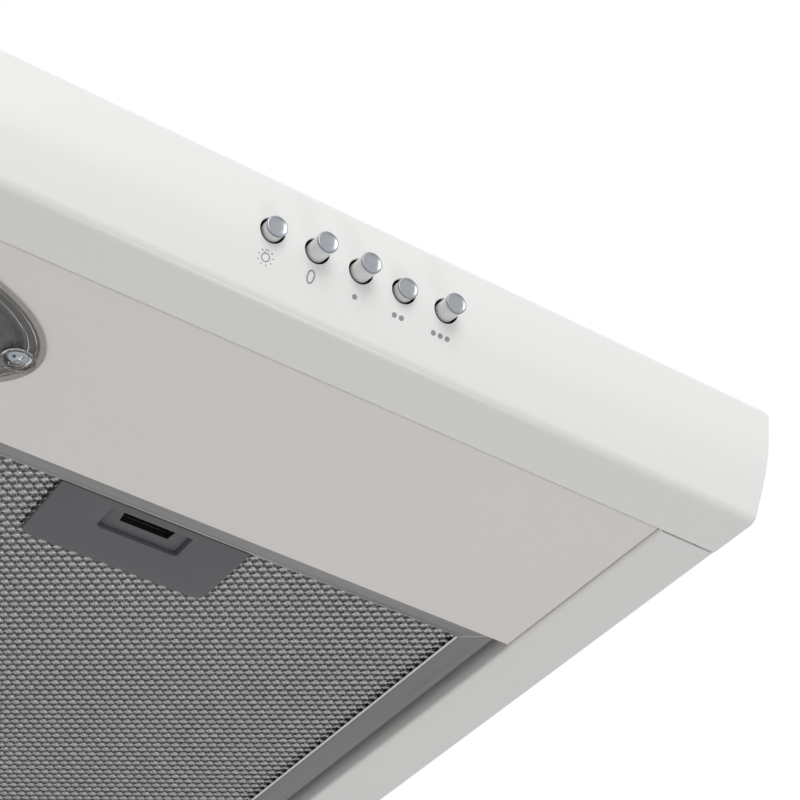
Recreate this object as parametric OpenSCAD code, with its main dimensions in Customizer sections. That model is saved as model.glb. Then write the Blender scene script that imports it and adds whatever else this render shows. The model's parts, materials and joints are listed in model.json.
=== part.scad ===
// Under cabinet range hood, 60 cm class, two grease filters, top duct outlet.
// Frame: X to the right seen from the front, Y to the back, Z up.
// Origin: middle of the footprint, on the plane of the underside.

/* [Hood] */
// Width over the side panels
hood_w = 598; // [590:1:610]
// Height of the canopy without its duct collar
hood_h = 132; // [130:1:136]
// Where the front panel meets the canopy, measured from the origin
seam_y = -199.4; // [-205:0.1:-195]
// Rear face of the canopy
rear_y = 237.2; // [236:0.1:240]
// Where the sloped top becomes flat
slope_top_y = -88; // [-95:1:-86]
// Thickness of the painted steel sheet
sheet_t = 1.2; // [1:0.1:1.4]
// Width of the turned-in flange along each side
side_flange_w = 23; // [22:0.5:24]
// Height of the upturned inner edge of a side flange
flange_lip_h = 14; // [12:1:16]

/* [Front panel] */
// Height of the front panel
panel_h = 42.2; // [40:0.1:44]
// Wall thickness of the front panel
panel_t = 1.5; // [1.2:0.1:1.8]
// How far the underside lip runs forward of the seam
lip_depth = 22.3; // [20:0.1:24]
// How far the belly of the front face stands forward of the seam
belly_depth = 31.6; // [30:0.1:33]
// Height of the belly
belly_z = 21.5; // [20:0.5:24]
// How far the top edge stands forward of the seam
nose_depth = 33.7; // [32:0.1:35]

/* [Buttons] */
// Sideways distance between two buttons
button_pitch = 15.85; // [15.5:0.05:17]
// Sideways place of the first button
button_first_x = 104.4; // [100:0.1:110]
// Height of the button holes
button_z = 21.2; // [20:0.1:23]
// Forward distance of the button holes from the seam
button_depth = 30.75; // [30:0.05:31]
// Downward tilt of the buttons, degrees
button_tilt = 10; // [5:1:15]
// Radius of a button hole
button_hole_r = 4.25; // [4.1:0.05:4.5]
// Radius of a button cap
button_cap_r = 3.6; // [3.3:0.05:3.7]
// Radius of a button stem
button_stem_r = 3.2; // [3:0.05:3.25]
// Inward travel of a button that is out
button_travel = 4; // [3:0.5:4]

/* [Lamp] */
// Depth of the lamp panel from front to back
lamp_panel_d = 89.3; // [88:0.1:91]
// Height of the lamp panel above the underside plane
lamp_panel_z = 1; // [1:0.1:1.5]
// Distance of the lamp behind the seam
lamp_depth = 44.4; // [42:0.1:46]
// Half width of the oval lamp cover
cover_a = 65.7; // [64:0.1:67]
// Half depth of the oval lamp cover
cover_b = 34.4; // [33:0.1:35]

/* [Filters] */
// Width of one grease filter
filter_w = 269.6; // [268:0.1:270]
// Depth of one grease filter
filter_d = 305; // [304:0.5:306]
// Thickness of a filter frame
filter_t = 9; // [9:0.5:9.5]
// Underside of the filters above the underside plane
filter_z = 3.5; // [3.5:0.1:4]
// Gap between the two filters
filter_gap = 2.6; // [2:0.1:3]
// Visible width of the front and rear frame bars
bar_front = 8.6; // [8:0.1:9]
// Visible width of the side frame bars
bar_side = 11; // [10:0.1:12]

/* [Blower] */
// Fore and aft place of the fan axis
fan_y = 25; // [22:1:28]
// Outer radius of the impeller
fan_r = 75; // [72:1:76]
// Number of impeller blades
fan_blades = 36; // [24:1:40]
// Outer radius of the duct collar
duct_r = 60; // [60:0.5:62]
// Fore and aft place of the duct collar
duct_y = 166; // [164:1:167]
// Height of the duct collar above the canopy
duct_h = 34; // [30:1:40]

/* [Hidden] */
$fn = 64;
half_w = hood_w / 2;
inner_half = half_w - side_flange_w;
top_in = hood_h - sheet_t;
front_y = seam_y + sheet_t;

// Switch block, below and above the button axes
block_low = -10;
block_high = 6.5;

// Lamp panel
lp_front = seam_y + 0.6;
lp_rear = seam_y + lamp_panel_d;
lp_half = inner_half - 0.4;
lp_t = 1;
lp_hem_h = 5.1;
lamp_y = seam_y + lamp_depth;
lamp_screw = [59, seam_y + 47];
pocket_r = 5.4;
pocket_top = 4;
pan_half = [72, 37];
pan_top = 37;
bulb_z = 20;

// Filters
filter_front = lp_rear + 0.5;
filter_rear = filter_front + filter_d;
filter_x = (filter_w + filter_gap) / 2;
filter_top = filter_z + filter_t;
channel_t = 0.8;
bead_r = 2;
bead_y = filter_rear + 5.1;
bead_z = 7.5;
rear_flange_y = bead_y + 3.5;
hook_x = 90;
hook_w = 14;

// Latch
latch_half = 36;
latch_d = 35;
latch_front = filter_front + bar_front + 0.3;
latch_z = filter_z - 0.3;
latch_top = 11.3;
slot_front = latch_front + 3.7;
slot_d = 5;
recess_d = 12.7;
slide_z = 5.2;
slide_t = 2.4;
slide_back = latch_front + 24.5;
latch_travel = 5;

// Blower
scroll_z = 40;
wall_t = 2;
plenum_y = rear_y - 4.4;
scroll_east = 110;
scroll_west = -66;
scroll_start = 84;
tongue_angle = 135;
grille_z = 36;
cup_r = 48;
shaft_r = 4;
can_r = 42;
can_z = 64;
can_top = 126;
collar_flange_r = duct_r + 10;
collar_ledge_h = 4.9;
flap_drop = 4.6;
flap_t = 1.4;
flap_z = hood_h + collar_ledge_h + 0.3 + flap_drop;
flap_r = duct_r - 3.6;
flap_pin_r = 1.5;
knuckle_r = 2.9;
knuckle_w = 12;

// Electrics
box_lo = [190, 150, 98];
box_hi = [262, 196, top_in];
gland_at = [226, 214];
gland_r = 4.5;
cap_at = [-175, 70, 112];

// Cabinet screws: four holes in the flat top
cabinet_dx = 540;
cabinet_dy = 170;
cabinet_y = 105;
cabinet_r = 2.75;

buttons = [for (i = [0:4]) button_first_x + i * button_pitch];
// How far each cap stands out: light and second speed are latched in
button_out = [3.3, 7.0, 6.8, 2.8, 6.3];
panel_screws_x = [-270, -90, 60, 270];
blower_screws = [[-46, -50], [46, -50], [-52, 108], [96, 108]];
collar_screws = [for (a = [30, 150, 270]) [65.5 * cos(a), duct_y + 65.5 * sin(a)]];
motor_screws = [for (a = [60, 180, 300]) [45 * cos(a), fan_y + 45 * sin(a)]];

// ---- Geometry helpers ----

function unit(v) = v / norm(v);
function left(v) = [-v.y, v.x];

// Moves each edge of a counter-clockwise outline inwards by t
function inset(pts, t) = [
    for (i = [0:len(pts) - 1])
        let (
            n = len(pts),
            n1 = left(unit(pts[i] - pts[(i + n - 1) % n])),
            n2 = left(unit(pts[(i + 1) % n] - pts[i]))
        )
        pts[i] + t * (n1 + n2) / (1 + n1 * n2)
];

// Rounds each corner of a counter-clockwise outline with its own radius
function rounded(pts, radii, steps = 8) = [
    for (i = [0:len(pts) - 1])
        let (
            n = len(pts),
            b = pts[i],
            u = unit(pts[(i + n - 1) % n] - b),
            v = unit(pts[(i + 1) % n] - b),
            r = radii[i],
            half = acos(u * v) / 2,
            side = u.x * v.y - u.y * v.x < 0 ? 1 : -1,
            middle = b + unit(u + v) * r / sin(half),
            start = b + u * r / tan(half) - middle,
            a0 = atan2(start.y, start.x)
        )
        each r <= 0 ? [b] : [
            for (k = [0:steps])
                let (a = a0 + side * (180 - 2 * half) * k / steps)
                middle + r * [cos(a), sin(a)]
        ]
];

function oval(a, b, n = 72) = [for (k = [0:n - 1]) [a * cos(360 * k / n), b * sin(360 * k / n)]];

module box(lo, hi) {
    translate(lo)
        cube(hi - lo);
}

// Extrudes an outline drawn in Y and Z along X
module along_x(x0, x1) {
    translate([x0, 0, 0])
        rotate([90, 0, 90])
            linear_extrude(x1 - x0)
                children();
}

module ring(outer, inner, height) {
    difference() {
        cylinder(r = outer, h = height);
        translate([0, 0, -1])
            cylinder(r = inner, h = height + 2);
    }
}

module tube(path, r, sides = 8, up = [0, 0, 1]) {
    n = len(path);
    rings = [
        for (i = [0:n - 1])
            let (
                t = unit(path[min(i + 1, n - 1)] - path[max(i - 1, 0)]),
                a = unit(cross(up, t)),
                b = cross(t, a)
            )
            for (k = [0:sides - 1])
                path[i] + r * (cos(360 * k / sides) * a + sin(360 * k / sides) * b)
    ];
    walls = [
        for (i = [0:n - 2], k = [0:sides - 1])
            let (m = (k + 1) % sides)
            [i * sides + k, (i + 1) * sides + k, (i + 1) * sides + m, i * sides + m]
    ];
    ends = [
        [for (k = [0:sides - 1]) k],
        [for (k = [0:sides - 1]) n * sides - 1 - k]
    ];
    polyhedron(points = rings, faces = concat(walls, ends));
}

// Pan head screw with a cross recess: the head stands on z = 0, the shank runs down
module screw(d, length, head_r, head_h = 1.8) {
    difference() {
        cylinder(r1 = head_r, r2 = head_r * 0.72, h = head_h);
        for (a = [0, 90])
            rotate([0, 0, a])
                translate([-head_r * 0.55, -0.35, head_h * 0.4])
                    cube([head_r * 1.1, 0.7, head_h]);
    }
    translate([0, 0, -length])
        cylinder(d = d, h = length);
}

module at_each(points, z = 0) {
    for (p = points)
        translate([p.x, p.y, z])
            children();
}

// ---- Canopy ----

canopy_outline = [
    [seam_y, 0],
    [rear_y, 0],
    [rear_y, hood_h],
    [slope_top_y, hood_h],
    [seam_y, panel_h]
];

module canopy_shell() {
    difference() {
        along_x(-half_w, half_w)
            polygon(rounded(canopy_outline, [0, 0, 2.5, 12, 0]));
        along_x(-half_w + sheet_t, half_w - sheet_t)
            polygon(rounded(inset(canopy_outline, sheet_t), [0, 0, 1.3, 10.8, 0]));
        // The underside is open between its flanges
        box([-inner_half, seam_y - 1, -1], [inner_half, rear_flange_y, sheet_t + 1]);
        // The front wall stops short of the seam, and has a window for the switches
        box([-inner_half, seam_y - 1, -1], [inner_half, front_y + 1, 6]);
        box([-half_w - 1, seam_y - 1, -1], [half_w + 1, seam_y + 0.2, 5]);
        box([88, seam_y - 1, 7], [184, front_y + 1, 37]);
    }
    for (side = [0, 1])
        mirror([side, 0, 0])
            box([inner_half, seam_y + 0.2, 0], [inner_half + sheet_t, rear_y - sheet_t, flange_lip_h]);
}

module canopy() {
    color("whitesmoke")
        difference() {
            canopy_shell();
            translate([0, duct_y, hood_h - 5])
                cylinder(r = 57, h = 10);
            box([-58, rear_y - 3, 52], [58, rear_y + 1, 116]);
            for (x = [-cabinet_dx / 2, cabinet_dx / 2], y = [-cabinet_dy / 2, cabinet_dy / 2])
                translate([x, cabinet_y + y, hood_h - 5])
                    cylinder(r = cabinet_r, h = 10);
            translate([gland_at.x, gland_at.y, hood_h - 5])
                cylinder(r = 8, h = 10);
            at_each(blower_screws, hood_h - 5)
                cylinder(r = 2.1, h = 10);
            at_each(collar_screws, hood_h - 5)
                cylinder(r = 1.6, h = 10);
            for (x = panel_screws_x)
                translate([x, seam_y - 1, 38])
                    rotate([-90, 0, 0])
                        cylinder(r = 1.6, h = 4);
            lamp_panel_holes();
        }
}

// ---- Front panel ----

panel_outline = [
    [seam_y, 0],
    [seam_y, panel_h],
    [seam_y - nose_depth, panel_h],
    [seam_y - belly_depth, belly_z],
    [seam_y - lip_depth, 0]
];

module button_frame() {
    translate([0, seam_y - button_depth, button_z])
        rotate([button_tilt, 0, 0])
            children();
}

module front_panel() {
    color("white")
        difference() {
            along_x(-half_w, half_w)
                polygon(rounded(panel_outline, [0, 0, 3.8, 55, 4.5]));
            along_x(-half_w + panel_t, half_w - panel_t)
                polygon(rounded(inset(panel_outline, panel_t), [0, 0, 2.3, 53.5, 3]));
            // Back opening between the two turned edges
            box([-half_w + 6, seam_y - 2, 9], [half_w - 6, seam_y + 1, 34]);
            button_frame()
                for (x = buttons)
                    translate([x, 0, 0])
                        rotate([90, 0, 0])
                            cylinder(r = button_hole_r, h = 24, center = true);
            for (x = panel_screws_x)
                translate([x, seam_y - 3, 38])
                    rotate([-90, 0, 0])
                        cylinder(r = 1.6, h = 4);
        }
}

module panel_screws() {
    color("silver")
        for (x = panel_screws_x)
            translate([x, front_y, 38])
                rotate([-90, 0, 0])
                    screw(3, 5, 2.6);
}

// ---- Buttons ----

// One cap: a shallow cup of chromed plastic that stands out of the panel by "out"
module button_cap(i) {
    color("lightsteelblue")
        button_frame()
            translate([buttons[i], -button_out[i], 0])
                rotate([-90, 0, 0])
                    difference() {
                        union() {
                            cylinder(r1 = button_cap_r - 0.35, r2 = button_cap_r, h = 0.35);
                            translate([0, 0, 0.35])
                                cylinder(r = button_cap_r, h = 2.65);
                        }
                        translate([0, 0, -1])
                            cylinder(r1 = button_cap_r + 0.4, r2 = button_cap_r - 1.05, h = 1.25);
                    }
}

// The latched buttons have travelled inwards, so their stems reach further back
module button_stem(i) {
    color("gainsboro")
        button_frame()
            translate([buttons[i], 3 - button_out[i], 0])
                rotate([-90, 0, 0]) {
                    cylinder(r = button_stem_r, h = 20);
                    translate([0, 0, 20])
                        cylinder(r = button_stem_r - 1, h = 3);
                }
}

module switch_block() {
    color("dimgray")
        button_frame()
            difference() {
                box([buttons[0] - 9, 5, block_low], [buttons[4] + 9, 36, block_high]);
                for (x = buttons)
                    translate([x, 4, 0])
                        rotate([-90, 0, 0])
                            cylinder(r = button_stem_r + 0.05, h = 29);
            }
}

module switch_bracket() {
    color("silver")
        button_frame()
            difference() {
                box([buttons[0] - 18, 7, block_low - 2], [buttons[4] + 18, 22, block_high + 2]);
                box([buttons[0] - 16.8, 6, block_low], [buttons[4] + 16.8, 23, block_high]);
            }
}

// ---- Lamp panel and lamp ----

module lamp_panel_holes() {
    for (side = [-1, 1], y = [lp_front + 20, lp_rear - 20])
        translate([side * lp_half, y, 9])
            rotate([0, 90, 0])
                cylinder(r = 1.6, h = 12, center = true);
}

lamp_panel_outline = [
    [lp_front, lamp_panel_z],
    [lp_rear, lamp_panel_z],
    [lp_rear, lp_hem_h],
    [lp_front, lp_hem_h]
];

module lamp_panel() {
    color("linen")
        difference() {
            union() {
                difference() {
                    along_x(-lp_half, lp_half)
                        polygon(rounded(lamp_panel_outline, [1.2, 1.2, 0, 0]));
                    along_x(-lp_half - 1, lp_half + 1)
                        polygon([
                            [lp_front + lp_t, lamp_panel_z + lp_t],
                            [lp_rear - lp_t, lamp_panel_z + lp_t],
                            [lp_rear - lp_t, lp_hem_h + 1],
                            [lp_front + lp_t, lp_hem_h + 1]
                        ]);
                }
                for (side = [0, 1])
                    mirror([side, 0, 0])
                        box([lp_half - lp_t, lp_front + 2, lamp_panel_z], [lp_half, lp_rear - 2, flange_lip_h]);
            }
            lamp_panel_holes();
            translate([0, lamp_y, 0])
                linear_extrude(4)
                    polygon(oval(cover_a - 12, cover_b - 5));
            translate([lamp_screw.x, lamp_screw.y, 0])
                cylinder(r = pocket_r + 0.2, h = 4);
        }
}

module lamp_panel_screws() {
    color("silver")
        for (side = [0, 1], y = [lp_front + 20, lp_rear - 20])
            mirror([side, 0, 0])
                translate([inner_half + sheet_t, y, 9])
                    rotate([0, 90, 0])
                        screw(3, 4, 2.6);
}

module lamp_cover() {
    color("lightgray", 0.4)
        difference() {
            union() {
                translate([0, lamp_y, 0.2])
                    linear_extrude(lamp_panel_z - 0.2)
                        polygon(oval(cover_a, cover_b));
                translate([0, lamp_y, lamp_panel_z])
                    linear_extrude(3)
                        difference() {
                            polygon(oval(cover_a - 12.4, cover_b - 5.4));
                            polygon(oval(cover_a - 13.9, cover_b - 6.9));
                        }
                translate([lamp_screw.x, lamp_screw.y, 0.2])
                    cylinder(r = pocket_r, h = pocket_top - 0.2);
            }
            translate([lamp_screw.x, lamp_screw.y, -1])
                cylinder(r = 2.1, h = 6);
            translate([lamp_screw.x, lamp_screw.y, -1])
                cylinder(r = pocket_r - 0.8, h = pocket_top);
        }
}

module lamp_cover_screw() {
    color("silver")
        translate([lamp_screw.x, lamp_screw.y, pocket_top - 1])
            mirror([0, 0, 1])
                screw(4, 8, 4.3, 2);
}

// Steel pan around the bulb, with a bridge that the cover screw threads into
module lamp_pan() {
    lo = [-pan_half.x, lamp_y - pan_half.y, lamp_panel_z + lp_t];
    hi = [pan_half.x, lamp_y + pan_half.y, pan_top];
    screw_y = lamp_screw.y;
    color("lightgray")
        difference() {
            union() {
                difference() {
                    box(lo, hi);
                    box(lo + [0.8, 0.8, 0.8], hi - [0.8, 0.8, 0.8]);
                }
                box([lamp_screw.x - 7, screw_y - 8, pocket_top + 0.1], [hi.x - 0.4, screw_y + 8, pocket_top + 2]);
            }
            translate([0, lamp_y, 0])
                linear_extrude(pocket_top)
                    polygon(oval(cover_a - 11, cover_b - 4));
            translate([lamp_screw.x, lamp_screw.y, 0])
                cylinder(r = pocket_r + 0.2, h = pocket_top);
            translate([lamp_screw.x, lamp_screw.y, 0])
                cylinder(r = 2.1, h = 8);
            translate([-pan_half.x - 1, lamp_y, bulb_z])
                rotate([0, 90, 0])
                    cylinder(r = 14, h = 4);
        }
}

module lamp_holder() {
    color("ivory")
        translate([-pan_half.x - 10, lamp_y, bulb_z])
            rotate([0, 90, 0])
                difference() {
                    union() {
                        cylinder(r = 13.5, h = 32);
                        translate([0, 0, 7.6])
                            cylinder(r = 16, h = 2.4);
                    }
                    translate([0, 0, 8])
                        cylinder(r = 7.4, h = 30);
                }
}

module bulb() {
    color("white")
        translate([-pan_half.x, lamp_y, bulb_z])
            rotate([0, 90, 0]) {
                cylinder(r = 7, h = 24);
                rotate_extrude()
                    polygon(rounded([[0, 24], [8, 24], [12.5, 34], [12.5, 100], [0, 100]], [0, 0, 6, 8, 0]));
            }
}

// ---- Grease filters ----

module filter_frame() {
    x = filter_w / 2;
    win_x = x - bar_side;
    win_y0 = filter_front + bar_front;
    win_y1 = filter_rear - bar_front;
    inner = x - channel_t;
    difference() {
        box([-x, filter_front, filter_z], [x, filter_rear, filter_top]);
        box([-inner, filter_front + channel_t, filter_z + channel_t],
            [inner, filter_rear - channel_t, filter_top - channel_t]);
        box([-win_x, win_y0, filter_z - 1], [win_x, win_y1, filter_top + 1]);
        // Way out for the latch tongue
        box([-8.3, filter_front - 1, slide_z - 0.1], [8.3, filter_front + 2, slide_z + slide_t + 0.1]);
    }
    for (side = [-hook_x, hook_x])
        along_x(side - hook_w / 2, side + hook_w / 2)
            filter_hook();
}

// A hook that hangs over the round edge of the rear rail
module filter_hook() {
    inner = bead_r + 0.06;
    difference() {
        translate([bead_y, bead_z])
            circle(r = inner + 1);
        translate([bead_y, bead_z])
            circle(r = inner);
        translate([bead_y, bead_z])
            polygon([[0, 0], [-9, -2], [-9, -9], [9, -9], [9, 6]]);
    }
    translate([filter_rear - 0.5, bead_z - 0.4])
        square([bead_y - filter_rear - inner - 0.1, 1]);
}

module filter_rail() {
    color("silver") {
        along_x(-inner_half + 0.3, inner_half - 0.3) {
            translate([bead_y, bead_z])
                circle(r = bead_r, $fn = 48);
            translate([bead_y + 1.5, bead_z - 0.5])
                square([12.5, 1]);
            translate([bead_y + 13, sheet_t])
                square([1, bead_z - sheet_t]);
            translate([bead_y + 13, sheet_t])
                square([14, 1]);
        }
    }
}

// The pack of expanded metal layers, with a corner left for the latch
module filter_mesh() {
    gap = 0.2;
    inner = filter_w / 2 - channel_t - gap;
    z0 = filter_z + channel_t + gap;
    z1 = filter_top - channel_t - gap;
    difference() {
        box([-inner, filter_front + channel_t + gap, z0], [inner, filter_rear - channel_t - gap, z1]);
        box([-latch_half - gap, filter_front, z0 - 1], [latch_half + gap, latch_front + latch_d + gap, z1 + 1]);
    }
}

module latch_plate() {
    y0 = latch_front;
    y1 = latch_front + latch_d;
    difference() {
        translate([0, 0, latch_z])
            linear_extrude(latch_top - latch_z)
                polygon(rounded(
                    [[-latch_half, y0], [latch_half, y0], [latch_half, y1], [-latch_half, y1]],
                    [0, 0, 3.6, 3.6]
                ));
        // Room for the slider and its spring
        box([-15.3, y0 - 1, slide_z - 0.2], [15.3, slide_back + latch_travel + 0.5, slide_z + slide_t + 0.3]);
        box([-3, slide_back - 1, slide_z - 0.2], [3, y1 - 1.5, slide_z + 4]);
        // Finger recess
        box([-15.75, slot_front, latch_z - 1], [15.75, slot_front + recess_d, slide_z]);
        box([-10.2, slot_front, slide_z], [10.2, slot_front + slot_d, latch_top - 1]);
    }
}

module latch_slider() {
    difference() {
        box([-15, latch_front + 0.2, slide_z], [15, slide_back, slide_z + slide_t]);
        box([-10.65, slot_front, slide_z - 1], [10.65, slot_front + slot_d, slide_z + slide_t + 1]);
    }
    box([-8, filter_front - 4, slide_z + 0.2], [8, latch_front + 1, slide_z + slide_t - 0.1]);
}

module latch_spring() {
    turns = 4;
    y0 = slide_back + 0.3;
    y1 = latch_front + latch_d - 1.8;
    path = [
        for (k = [0:turns * 10])
            let (a = 36 * k)
            [
                1.3 * cos(a),
                y0 + 0.25 + (y1 - y0 - 0.5) * k / (turns * 10),
                slide_z + 1.9 + 1.3 * sin(a)
            ]
    ];
    tube(path, 0.25, 6, [0, 1, 0]);
}

module at_filter(side) {
    translate([side * filter_x, 0, 0])
        children();
}

// ---- Blower ----

function scroll_outline(t) = concat(
    [for (a = [tongue_angle:7.5:360])
        let (r = scroll_start + (scroll_east - scroll_start) * (a - tongue_angle) / (360 - tongue_angle) - t)
        [r * cos(a), fan_y + r * sin(a)]],
    [
        [scroll_east - t, plenum_y - t],
        [scroll_west + t, plenum_y - t],
        [scroll_west + t, fan_y + scroll_start * sin(tongue_angle) + 12]
    ]
);

module blower_housing() {
    color("darkgray")
        difference() {
            translate([0, 0, scroll_z + wall_t])
                linear_extrude(top_in - scroll_z - wall_t)
                    polygon(scroll_outline(0));
            translate([0, 0, scroll_z])
                linear_extrude(top_in - wall_t - scroll_z)
                    polygon(scroll_outline(wall_t));
            translate([0, duct_y, top_in - 5])
                cylinder(r = 57, h = 10);
            box([-56, plenum_y - 5, 54], [56, plenum_y + 1, 114]);
            at_each(blower_screws, top_in - 5)
                cylinder(r = 2.1, h = 10);
            at_each(concat(motor_screws, collar_screws), top_in - 5)
                cylinder(r = 1.6, h = 10);
        }
}

module blower_base() {
    color("gray")
        difference() {
            union() {
                translate([0, 0, scroll_z])
                    linear_extrude(wall_t)
                        polygon(scroll_outline(0));
                translate([0, fan_y, scroll_z - 3])
                    cylinder(r = fan_r - 6, h = 4);
            }
            translate([0, fan_y, scroll_z - 5])
                cylinder(r = fan_r - 9, h = 10);
        }
}

module inlet_grille() {
    hub = fan_r - 9.2;
    color("gray")
        translate([0, fan_y, grille_z])
            difference() {
                union() {
                    for (r = [12:9:57])
                        ring(r + 1, r - 1, 1.6);
                    ring(hub, hub - 2.5, 4);
                    ring(hub + 3, hub - 2.5, 1);
                    for (a = [0:45:315])
                        rotate([0, 0, a])
                            translate([11, -1, 0])
                                cube([hub - 12.5, 2, 1.6]);
                    cylinder(r = 6, h = 1.6);
                    for (a = [0, 90])
                        rotate([0, 0, a])
                            translate([-11.5, -1, 0])
                                cube([23, 2, 1.6]);
                }
                translate([0, 0, -1])
                    cylinder(r = 2, h = 4);
            }
}

module impeller() {
    z0 = 46;
    z1 = 118;
    color("slategray")
        translate([0, fan_y, 0]) {
            translate([0, 0, z0])
                ring(fan_r, fan_r - 13, 2);
            translate([0, 0, z1])
                ring(fan_r, cup_r - 2, 2);
            for (i = [0:fan_blades - 1])
                rotate([0, 0, 360 * i / fan_blades])
                    translate([fan_r - 12, -2.6, z0 + 1])
                        rotate([0, 0, 24])
                            cube([12, 1.2, z1 - z0]);
            difference() {
                translate([0, 0, 58])
                    cylinder(r = cup_r, h = z1 - 57);
                translate([0, 0, 60])
                    cylinder(r = cup_r - 2, h = 70);
                translate([0, 0, 50])
                    cylinder(r = shaft_r + 0.03, h = 20);
            }
            translate([0, 0, 51])
                ring(11, shaft_r + 0.03, 8);
        }
}

module rotor() {
    color("silver")
        translate([0, fan_y, 0]) {
            translate([0, 0, 49])
                cylinder(r = shaft_r, h = 75.5);
            translate([0, 0, 80])
                cylinder(r = 21.5, h = 30);
        }
}

module motor_bearings() {
    color("goldenrod")
        translate([0, fan_y, 0])
            for (z = [can_z + 0.2, can_top - 8])
                translate([0, 0, z])
                    ring(11, shaft_r + 0.05, 6.8);
}

module motor_can() {
    color("silver")
        translate([0, fan_y, 0])
            difference() {
                union() {
                    translate([0, 0, can_z])
                        cylinder(r = can_r, h = can_top - can_z);
                    translate([0, 0, can_top - 1.5])
                        cylinder(r = 49, h = top_in - wall_t - can_top + 1.5);
                }
                translate([0, 0, can_z + 9])
                    cylinder(r = can_r - 2, h = can_top - can_z - 19);
                translate([0, 0, can_z - 1])
                    cylinder(r = 11.02, h = 12);
                translate([0, 0, can_top - 12])
                    cylinder(r = 11.02, h = 12);
                for (a = [0:30:330])
                    rotate([0, 0, a])
                        translate([30, 0, can_z - 1])
                            cylinder(r = 4, h = 12);
                translate([0, -fan_y, 0])
                    at_each(motor_screws, can_top - 4)
                        cylinder(r = 1.6, h = 12);
            }
}

module motor_stator() {
    color("dimgray")
        translate([0, fan_y, 80])
            ring(can_r - 2.1, 22, 30);
}

module motor_windings() {
    color("peru")
        translate([0, fan_y, 0])
            for (z = [75, 110])
                translate([0, 0, z])
                    ring(36, 24, 5);
}

module motor_screws() {
    color("silver")
        at_each(motor_screws, can_top - 1.5)
            mirror([0, 0, 1])
                screw(3, 6, 2.8);
}

module blower_screws() {
    color("silver")
        at_each(blower_screws, hood_h)
            screw(4, 6, 4, 2.2);
}

// ---- Duct collar and flaps ----

module duct_collar() {
    color("dimgray")
        translate([0, duct_y, hood_h])
            difference() {
                union() {
                    cylinder(r = collar_flange_r, h = 2);
                    cylinder(r = duct_r, h = duct_h);
                }
                translate([0, 0, -1])
                    cylinder(r = duct_r - 4.6, h = collar_ledge_h + 2);
                translate([0, 0, collar_ledge_h])
                    cylinder(r = duct_r - 2.2, h = duct_h);
                translate([0, -duct_y, 0])
                    at_each(collar_screws, -1)
                        cylinder(r = 1.6, h = 5);
                translate([-duct_r, 0, flap_z - hood_h])
                    rotate([0, 90, 0])
                        cylinder(r = flap_pin_r + 0.02, h = 2 * duct_r);
            }
}

module flap_pin() {
    color("silver")
        translate([-duct_r + 0.3, duct_y, flap_z])
            rotate([0, 90, 0])
                cylinder(r = flap_pin_r, h = 2 * duct_r - 0.6);
}

// Half disc that hangs on the pin, with knuckles starting at the given places along it
module flap(knuckles) {
    bore = flap_pin_r + 0.06;
    difference() {
        union() {
            translate([0, duct_y, flap_z - flap_drop])
                difference() {
                    cylinder(r = flap_r, h = flap_t);
                    box([-flap_r - 1, -flap_r - 1, -1], [flap_r + 1, 0.4, flap_t + 1]);
                }
            for (x = knuckles) {
                translate([x, duct_y, flap_z])
                    rotate([0, 90, 0])
                        cylinder(r = knuckle_r, h = knuckle_w);
                box([x, duct_y + 0.4, flap_z - flap_drop], [x + knuckle_w, duct_y + knuckle_r, flap_z]);
            }
        }
        translate([-flap_r - 2, duct_y, flap_z])
            rotate([0, 90, 0])
                cylinder(r = bore, h = 2 * flap_r + 4);
    }
}

module flap_rear() {
    color("gray")
        flap([-40, 22]);
}

module flap_front() {
    color("gray")
        translate([0, 2 * duct_y, 0])
            rotate([0, 0, 180])
                flap([-47, 15]);
}

module collar_screws() {
    color("silver")
        at_each(collar_screws, hood_h + 2)
            screw(3, 5, 3);
}

module rear_outlet_cover() {
    color("whitesmoke")
        box([-68, plenum_y + 0.6, 46], [68, rear_y - sheet_t, 122]);
}

// ---- Electrics ----

module capacitor() {
    color("white")
        translate(cap_at)
            rotate([-90, 0, 0]) {
                cylinder(r = 15, h = 52);
                for (x = [-5, 5])
                    translate([x - 0.4, -3, 52])
                        cube([0.8, 6, 8]);
            }
}

module capacitor_clip() {
    y = cap_at.y + 18;
    color("silver")
        difference() {
            union() {
                translate([cap_at.x, y, cap_at.z])
                    rotate([-90, 0, 0])
                        cylinder(r = 16.4, h = 14);
                box([cap_at.x - 16.4, y, cap_at.z], [cap_at.x + 16.4, y + 14, top_in]);
            }
            translate([cap_at.x, y - 1, cap_at.z])
                rotate([-90, 0, 0])
                    cylinder(r = 15.2, h = 16);
            box([cap_at.x - 15.2, y - 1, cap_at.z], [cap_at.x + 15.2, y + 15, top_in - 1.2]);
        }
}

module terminal_box() {
    color("lightgray")
        difference() {
            box(box_lo + [0, 0, 4], box_hi);
            box(box_lo + [2, 2, 0], box_hi - [2, 2, 2]);
            translate([box_lo.x - 1, 173, 116])
                rotate([0, 90, 0])
                    cylinder(r = 3.2, h = 4);
        }
}

module terminal_cover() {
    color("gainsboro")
        difference() {
            box(box_lo - [0.6, 0.6, 0], [box_hi.x + 0.6, box_hi.y + 0.6, box_lo.z + 4]);
            box(box_lo + [2, 2, 1.6], [box_hi.x - 2, box_hi.y - 2, box_lo.z + 5]);
        }
}

module terminal_block() {
    color("ivory")
        difference() {
            box([box_lo.x + 16, box_lo.y + 14, top_in - 18], [box_hi.x - 16, box_hi.y - 14, top_in - 2]);
            for (i = [0:3])
                translate([box_lo.x + 21 + 10 * i, (box_lo.y + box_hi.y) / 2, top_in - 19])
                    cylinder(r = 2.4, h = 8);
        }
}

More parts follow.
